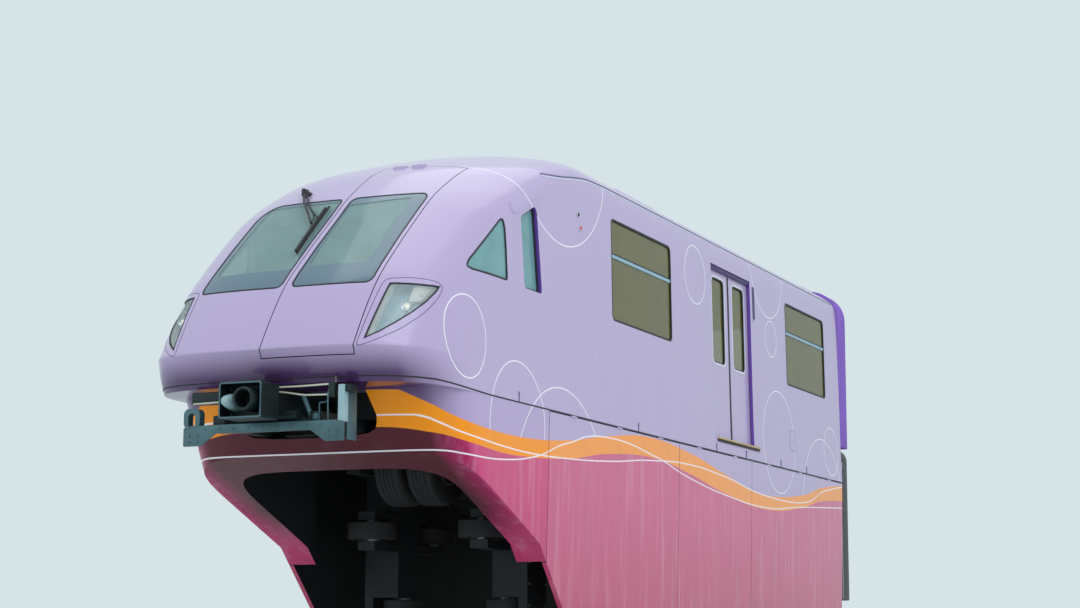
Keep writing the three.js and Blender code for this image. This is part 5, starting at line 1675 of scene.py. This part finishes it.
class MONORAIL_OT_wheels(bpy.types.Operator):
    """Tyres with ribbed treads, rims and hub bolts"""

    bl_idname = "monorail.wheels"
    bl_label = "Wheels"

    def execute(self, context):
        for name, y in BOGIES.items():
            for place, way in (("lead", -1), ("trail", 1)):
                self.wheelset(f"wheelset_{name}_{place}", y + way * BOGIE_STEP)
                for side, (sign, _) in SIDES.items():
                    centre = (sign * GUIDE_WHEEL["x"], y + way * GUIDE_WHEEL["step"], GUIDE_WHEEL["z"])
                    self.side_wheel(f"guide_wheel_{name}_{place}_{side}", centre, GUIDE_WHEEL)
            for side, (sign, _) in SIDES.items():
                centre = (sign * STABLE_WHEEL["x"], y, STABLE_WHEEL["z"])
                self.side_wheel(f"stable_wheel_{name}_{side}", centre, STABLE_WHEEL)
        return {"FINISHED"}

    def wheelset(self, node, y):
        """Two tyres with four round grooves each. The tread's radius drops by a groove's depth where it is
        near a groove's place, as a raised cosine."""
        centre = (0, y, WHEEL_R)
        rubber, metal = [], []
        for sign in (1, -1):
            across = np.linspace(TREAD["low"], TREAD["high"], 60)
            grooves = np.array(TREAD["grooves"])[:, None]
            near = np.clip(1 - np.abs(across[None, :] - grooves) / TREAD["width"], 0, 1).max(0)
            crown = TREAD_CROWN * (across - (TREAD["low"] + TREAD["high"]) / 2) ** 2
            tread = WHEEL_R - TREAD["depth"] * (1 - np.cos(math.pi * near)) / 2 - crown
            profile = [(0.205, 0.035), (0.30, 0.030), (0.352, 0.034), (0.378, 0.050)]
            profile += list(zip(tread, across))
            profile += [
                (0.378, 0.285), (0.352, 0.300), (0.30, 0.304), (0.205, 0.300), (0.195, 0.285), (0.195, 0.05)
            ]
            turned_rows = [(radius, sign * along) for radius, along in profile]
            unit = circle(0, 0, 1, 72)
            rows = [
                spread("x", np.array((y, WHEEL_R)) + radius * unit, along) for radius, along in turned_rows
            ]
            rubber.append(loft(rows, 0, wrap=True))
            rim = (
                (0.05, 0.04), (0.196, 0.04), (0.205, 0.05), (0.203, 0.294), (0.188, 0.298),
                (0.178, 0.24), (0.11, 0.225), (0.10, 0.29), (0.05, 0.295),
            )
            metal.append(turned("x", [(radius, sign * along) for radius, along in rim], centre, 48, 1))
            spots = [(sign * 0.236, *spot) for spot in circle(y, WHEEL_R, 0.145, 10)]
            metal += bolt_heads(spots, "x", 0.012, 0.010, 2)
        metal.append(turned("x", ((0.02, -0.6), (0.049, -0.596), (0.049, 0.596), (0.02, 0.6)), centre, 32, 1))
        metal.append(
            turned("x", ((0.05, -0.4195), (0.088, -0.417), (0.088, 0.417), (0.05, 0.4195)), centre, 32, 1)
        )
        piece(node + "_tyres", rubber, ("tyre_rubber",), node, (node,))
        piece(node + "_axle", metal, ("tyre_rubber", "rim_grey", "bolt_zinc"), node)

    def side_wheel(self, node, centre, size):
        """Solid tyre with a rounded tread on a disc hub with its pin and bolts."""
        radius, half, shoulder = size["radius"], size["half"], 0.02
        tread = [
            (
                radius - shoulder + shoulder * math.cos(turn),
                (half - shoulder) * np.sign(turn) + shoulder * math.sin(turn),
            )
            for turn in np.linspace(-math.pi / 2, math.pi / 2, 13)
            if turn
        ]
        rubber = [(0.62 * radius, -half + 0.004), *tread, (0.62 * radius, half - 0.004)]
        disc = ((0.63 * radius, -0.008), (0.60 * radius, -0.012), (0.060, 0.0), (0.058, 0.0197))
        pin = ((0.034, 0.0197), (0.034, 0.066), (0.03, 0.068))
        upper = disc + pin
        hub = [(r, -half - rise) for r, rise in upper[::-1]] + [(r, half + rise) for r, rise in upper]
        tyre = [turned("z", rubber, centre, 48)]
        piece(node + "_tyre", tyre, ("tyre_rubber",), node, (node,))
        x, y, z = centre
        spots = [(*spot, z + s * (half - 0.004)) for spot in circle(x, y, 0.09, 6) for s in (1, -1)]
        metal = [turned("z", hub, centre, 40), *bolt_heads(spots, "z", 0.008, 0.006, 1)]
        piece(node + "_hub", metal, ("rim_grey", "bolt_zinc"), node)


class MONORAIL_OT_running_gear(bpy.types.Operator):
    """Finishes of the bogie frames and the underframe, with bolts and plates on them"""

    bl_idname = "monorail.running_gear"
    bl_label = "Running gear"

    def execute(self, context):
        for node in ("bogie_front", "bogie_rear", "underframe"):
            repaint(node, "chassis_black")
        for name, y in BOGIES.items():
            caps, bolts = [], []
            for sign in (1, -1):
                for step in (-BOGIE_STEP, BOGIE_STEP):
                    flange = ((0.055, 0.0), (0.11, 0.002), (0.115, 0.016), (0.095, 0.022), (0.06, 0.022))
                    at = (sign * 0.56, y + step, WHEEL_R)
                    caps.append(turned("x", [(radius, sign * along) for radius, along in flange], at, 32, 0))
                    spots = [(sign * 0.58, *spot) for spot in circle(at[1], WHEEL_R, 0.092, 8)]
                    bolts += bolt_heads(spots, "x", 0.009, 0.008, 1)
                for z in np.linspace(-1.1, 0.1, 7):
                    bolts += bolt_heads(
                        [(sign * 0.861, y + side, z) for side in (-0.18, 0.18)], "x", 0.014, 0.010, 1
                    )
            piece(
                f"bogie_{name}_caps",
                caps + bolts,
                ("chassis_black", "bolt_zinc"),
                f"bogie_{name}",
            )
        return {"FINISHED"}


class MONORAIL_OT_interior(bpy.types.Operator):
    """Moulded benches, grab poles, the partition and the desk"""

    bl_idname = "monorail.interior"
    bl_label = "Interior"

    def execute(self, context):
        repaint("cab_partition", "cabin_trim")
        repaint("cab_desk", "desk_dark")
        for side, (sign, surface) in SIDES.items():
            for which, (y0, y1) in WINDOWS.items():
                self.bench(f"bench_{side}_{which}", sign, y0 + 0.06, y1 - 0.06)
                poles = [
                    tube(
                        np.linspace((sign * 0.74, y, 1.47), (sign * 0.74, y, 3.05), 6),
                        0.016,
                        12,
                        0,
                        guide=(0, 1, 0),
                    )
                    for y in (y0 + 0.12, y1 - 0.12)
                ]
                piece(f"poles_{side}_{which}", poles, ("grab_steel",))
        return {"FINISHED"}

    def bench(self, node, sign, y0, y1):
        """Row of seats: the section's seat and back sink by 12 mm along a squared cosine over each seat."""
        section = np.array(
            (
                (1.223, 1.012), (1.223, 1.848), (1.19, 1.85), (1.165, 1.835), (1.14, 1.66),
                (1.115, 1.49), (1.05, 1.462), (0.90, 1.458), (0.79, 1.462), (0.762, 1.44), (0.765, 1.40),
                (0.82, 1.385), (0.98, 1.365), (1.0, 1.34), (1.0, 1.012),
            )
        )
        dished = np.array((0, 0, 0, 0.2, 0.8, 1, 1, 1, 0.5, 0, 0, 0, 0, 0, 0))
        seats = 3
        y = np.linspace(y0, y1, seats * 16 + 1)
        dip = 0.014 * np.sin(math.pi * seats * (y - y0) / (y1 - y0)) ** 2
        push = np.stack((dished * 0.5, -dished), -1)
        rows = section[None] + dip[:, None, None] * push[None]
        points = np.stack(
            (sign * rows[..., 0], np.broadcast_to(y[:, None], rows.shape[:2]), rows[..., 1]), -1
        )
        piece(node + "_seats", [loft(points)], ("seat_shell",), stands_for=(node,))


class MONORAIL_OT_fittings(bpy.types.Operator):
    """Small fittings on the sides: marker lamps, access plate, hand slot and hinge tabs"""

    bl_idname = "monorail.fittings"
    bl_label = "Side fittings"

    def execute(self, context):
        for side, (sign, surface) in SIDES.items():
            forms = []
            for y, z, finish in ((-9.11, 2.78, 1), (-9.06, 2.66, 2)):
                spot = surface(np.array(y), np.array(z), 0.0)
                rim = (
                    (0.018, sign * 0.008), (0.026, sign * 0.010), (0.032, sign * 0.006), (0.032, -sign * 0.01)
                )
                forms.append(turned("x", rim, spot, 28, 0))
                dome = (
                    (0.004, sign * 0.016), (0.012, sign * 0.014), (0.021, sign * 0.008), (0.021, -sign * 0.01)
                )
                forms.append(turned("x", dome, spot, 24, finish))
            piece(
                f"marker_lamps_{side}", forms, ("frame_aluminium", "gasket_rubber", "marker_red")
            )
            lid = refined(rounded(-2.60, -2.40, 1.08, 1.33, 0.015, 4), 0.04)
            seam = bead(surface, lid, flat_ring(0.006, 0.001, 0.0008), 0.0)
            latch = block(*span(sign, 1.346, 1.358), -2.425, -2.41, 1.19, 1.22, 0.003, 1)
            piece(f"access_plate_{side}", [seam, latch], ("gutter_slate", "frame_aluminium"))
            slot = refined(rounded(-3.91, -3.83, 2.51, 2.91, 0.03, 5), 0.03)
            hand = pane(surface, slot, -0.002, 0.004, 3, 0)
            foot = block(*span(sign, 1.32, 1.342), -3.89, -3.85, 2.495, 2.515, 0.003, 1)
            piece(f"hand_slot_{side}", [hand, foot], ("header_dark", "frame_aluminium"))
            tabs = []
            for y in (-10.5, -7.66, -5.32, -4.30, -3.0, -1.96):
                spot = UPPER.side_x(np.array(y), np.array(0.85))
                tabs.append(
                    block(*span(sign, spot - 0.01, spot + 0.006), y - 0.004, y + 0.004, 0.834, 0.93, 0.002)
                )
            piece(f"belt_tabs_{side}", tabs, ("gutter_slate",))
        return {"FINISHED"}


class MONORAIL_OT_stage(bpy.types.Operator):
    """Pale floor, soft studio light and the camera at the photograph's angle"""

    bl_idname = "monorail.stage"
    bl_label = "Stage"

    def execute(self, context):
        values = context.scene.monorail.stage
        half = values.floor_size / 2
        corners = np.array(((-half, -half, 0), (half, -half, 0), (half, half, 0), (-half, half, 0)))
        mesh = bpy.data.meshes.new("floor")
        mesh.from_pydata(corners.tolist(), [], [(0, 1, 2, 3)])
        mesh.materials.append(finish_named("studio_floor"))
        placed("floor", mesh)
        context.scene.view_settings.view_transform = "Standard"
        self.world(values.sky)
        self.lights(values.key)
        self.camera(values.lens)
        return {"FINISHED"}

    def world(self, strength):
        world = bpy.data.worlds.new("studio")
        world.use_nodes = True
        background = world.node_tree.nodes["Background"]
        background.inputs["Color"].default_value = tint(*PALE_SKY)
        background.inputs["Strength"].default_value = strength
        bpy.context.scene.world = world

    def lights(self, power):
        lamps = (
            {"name": "key", "at": (14, -10, 14), "size": 14, "share": 1.0},
            {"name": "fill", "at": (-12, -16, 8), "size": 12, "share": 0.35},
            {"name": "top", "at": (0, 2, 18), "size": 16, "share": 0.6},
        )
        for lamp in lamps:
            light = bpy.data.lights.new(lamp["name"], "AREA")
            light.size = lamp["size"]
            light.energy = power * lamp["share"]
            made = bpy.data.objects.new(lamp["name"], light)
            bpy.context.scene.collection.objects.link(made)
            made.location = lamp["at"]
            aim = Vector((0, 0, 2)) - made.location
            made.rotation_euler = aim.to_track_quat("-Z", "Y").to_euler()

    def camera(self, lens):
        """The camera's axes: forward from yaw and pitch, then right and up turned about it by the roll."""
        yaw, pitch, roll = CAMERA["yaw"], CAMERA["pitch"], CAMERA["roll"]
        ahead = np.array((-math.sin(yaw) * math.cos(pitch), math.cos(yaw) * math.cos(pitch), math.sin(pitch)))
        level = np.array((math.cos(yaw), math.sin(yaw), 0.0))
        upright = np.cross(level, ahead)
        right = level * math.cos(roll) + upright * math.sin(roll)
        up = -level * math.sin(roll) + upright * math.cos(roll)
        place = np.eye(4)
        place[:3, 0], place[:3, 1], place[:3, 2], place[:3, 3] = right, up, -ahead, CAMERA["eye"]
        data = bpy.data.cameras.new("camera")
        data.sensor_width = 36.0
        data.lens = lens
        data.clip_end = 400.0
        made = bpy.data.objects.new("camera", data)
        bpy.context.scene.collection.objects.link(made)
        made.matrix_world = Matrix(place.tolist())
        bpy.context.scene.camera = made


def repaint(node, finish):
    """A better material in a CAD node's own slots."""
    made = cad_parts[node]
    material = finish_named(finish)
    for slot in made.material_slots:
        slot.material = material
    if not made.material_slots:
        made.data.materials.append(material)


OPERATORS = (
    MONORAIL_OT_side_walls,
    MONORAIL_OT_roof,
    MONORAIL_OT_nose,
    MONORAIL_OT_windscreens,
    MONORAIL_OT_headlights,
    MONORAIL_OT_cab_sides,
    MONORAIL_OT_side_windows,
    MONORAIL_OT_door_leaves,
    MONORAIL_OT_skirts,
    MONORAIL_OT_gangway,
    MONORAIL_OT_coupler,
    MONORAIL_OT_wheels,
    MONORAIL_OT_running_gear,
    MONORAIL_OT_interior,
    MONORAIL_OT_fittings,
    MONORAIL_OT_stage,
)


class MONORAIL_PT_panel(bpy.types.Panel):
    """The car's settings, and a button for each group of pieces"""

    bl_idname = "MONORAIL_PT_panel"
    bl_label = "Monorail lead car"
    bl_space_type = "VIEW_3D"
    bl_region_type = "UI"
    bl_category = "Monorail"

    def draw(self, context):
        layout = self.layout
        for group in (settings().livery, settings().glazing, settings().stage):
            column = layout.column(align=True)
            for name in group.bl_rna.properties.keys():
                if name not in ("rna_type", "name"):
                    column.prop(group, name)
        for operator in OPERATORS:
            layout.operator(operator.bl_idname)


CLASSES = (
    MONORAIL_PG_livery, MONORAIL_PG_glazing, MONORAIL_PG_stage, MONORAIL_PG_all, *OPERATORS, MONORAIL_PT_panel
)


def register():
    for each in CLASSES:
        bpy.utils.register_class(each)
    bpy.types.Scene.monorail = PointerProperty(type=MONORAIL_PG_all)


def unregister():
    del bpy.types.Scene.monorail
    for each in reversed(CLASSES):
        bpy.utils.unregister_class(each)


def main():
    register()
    for operator in OPERATORS:
        group, name = operator.bl_idname.split(".")
        getattr(getattr(bpy.ops, group), name)()


if __name__ == "__main__":
    main()
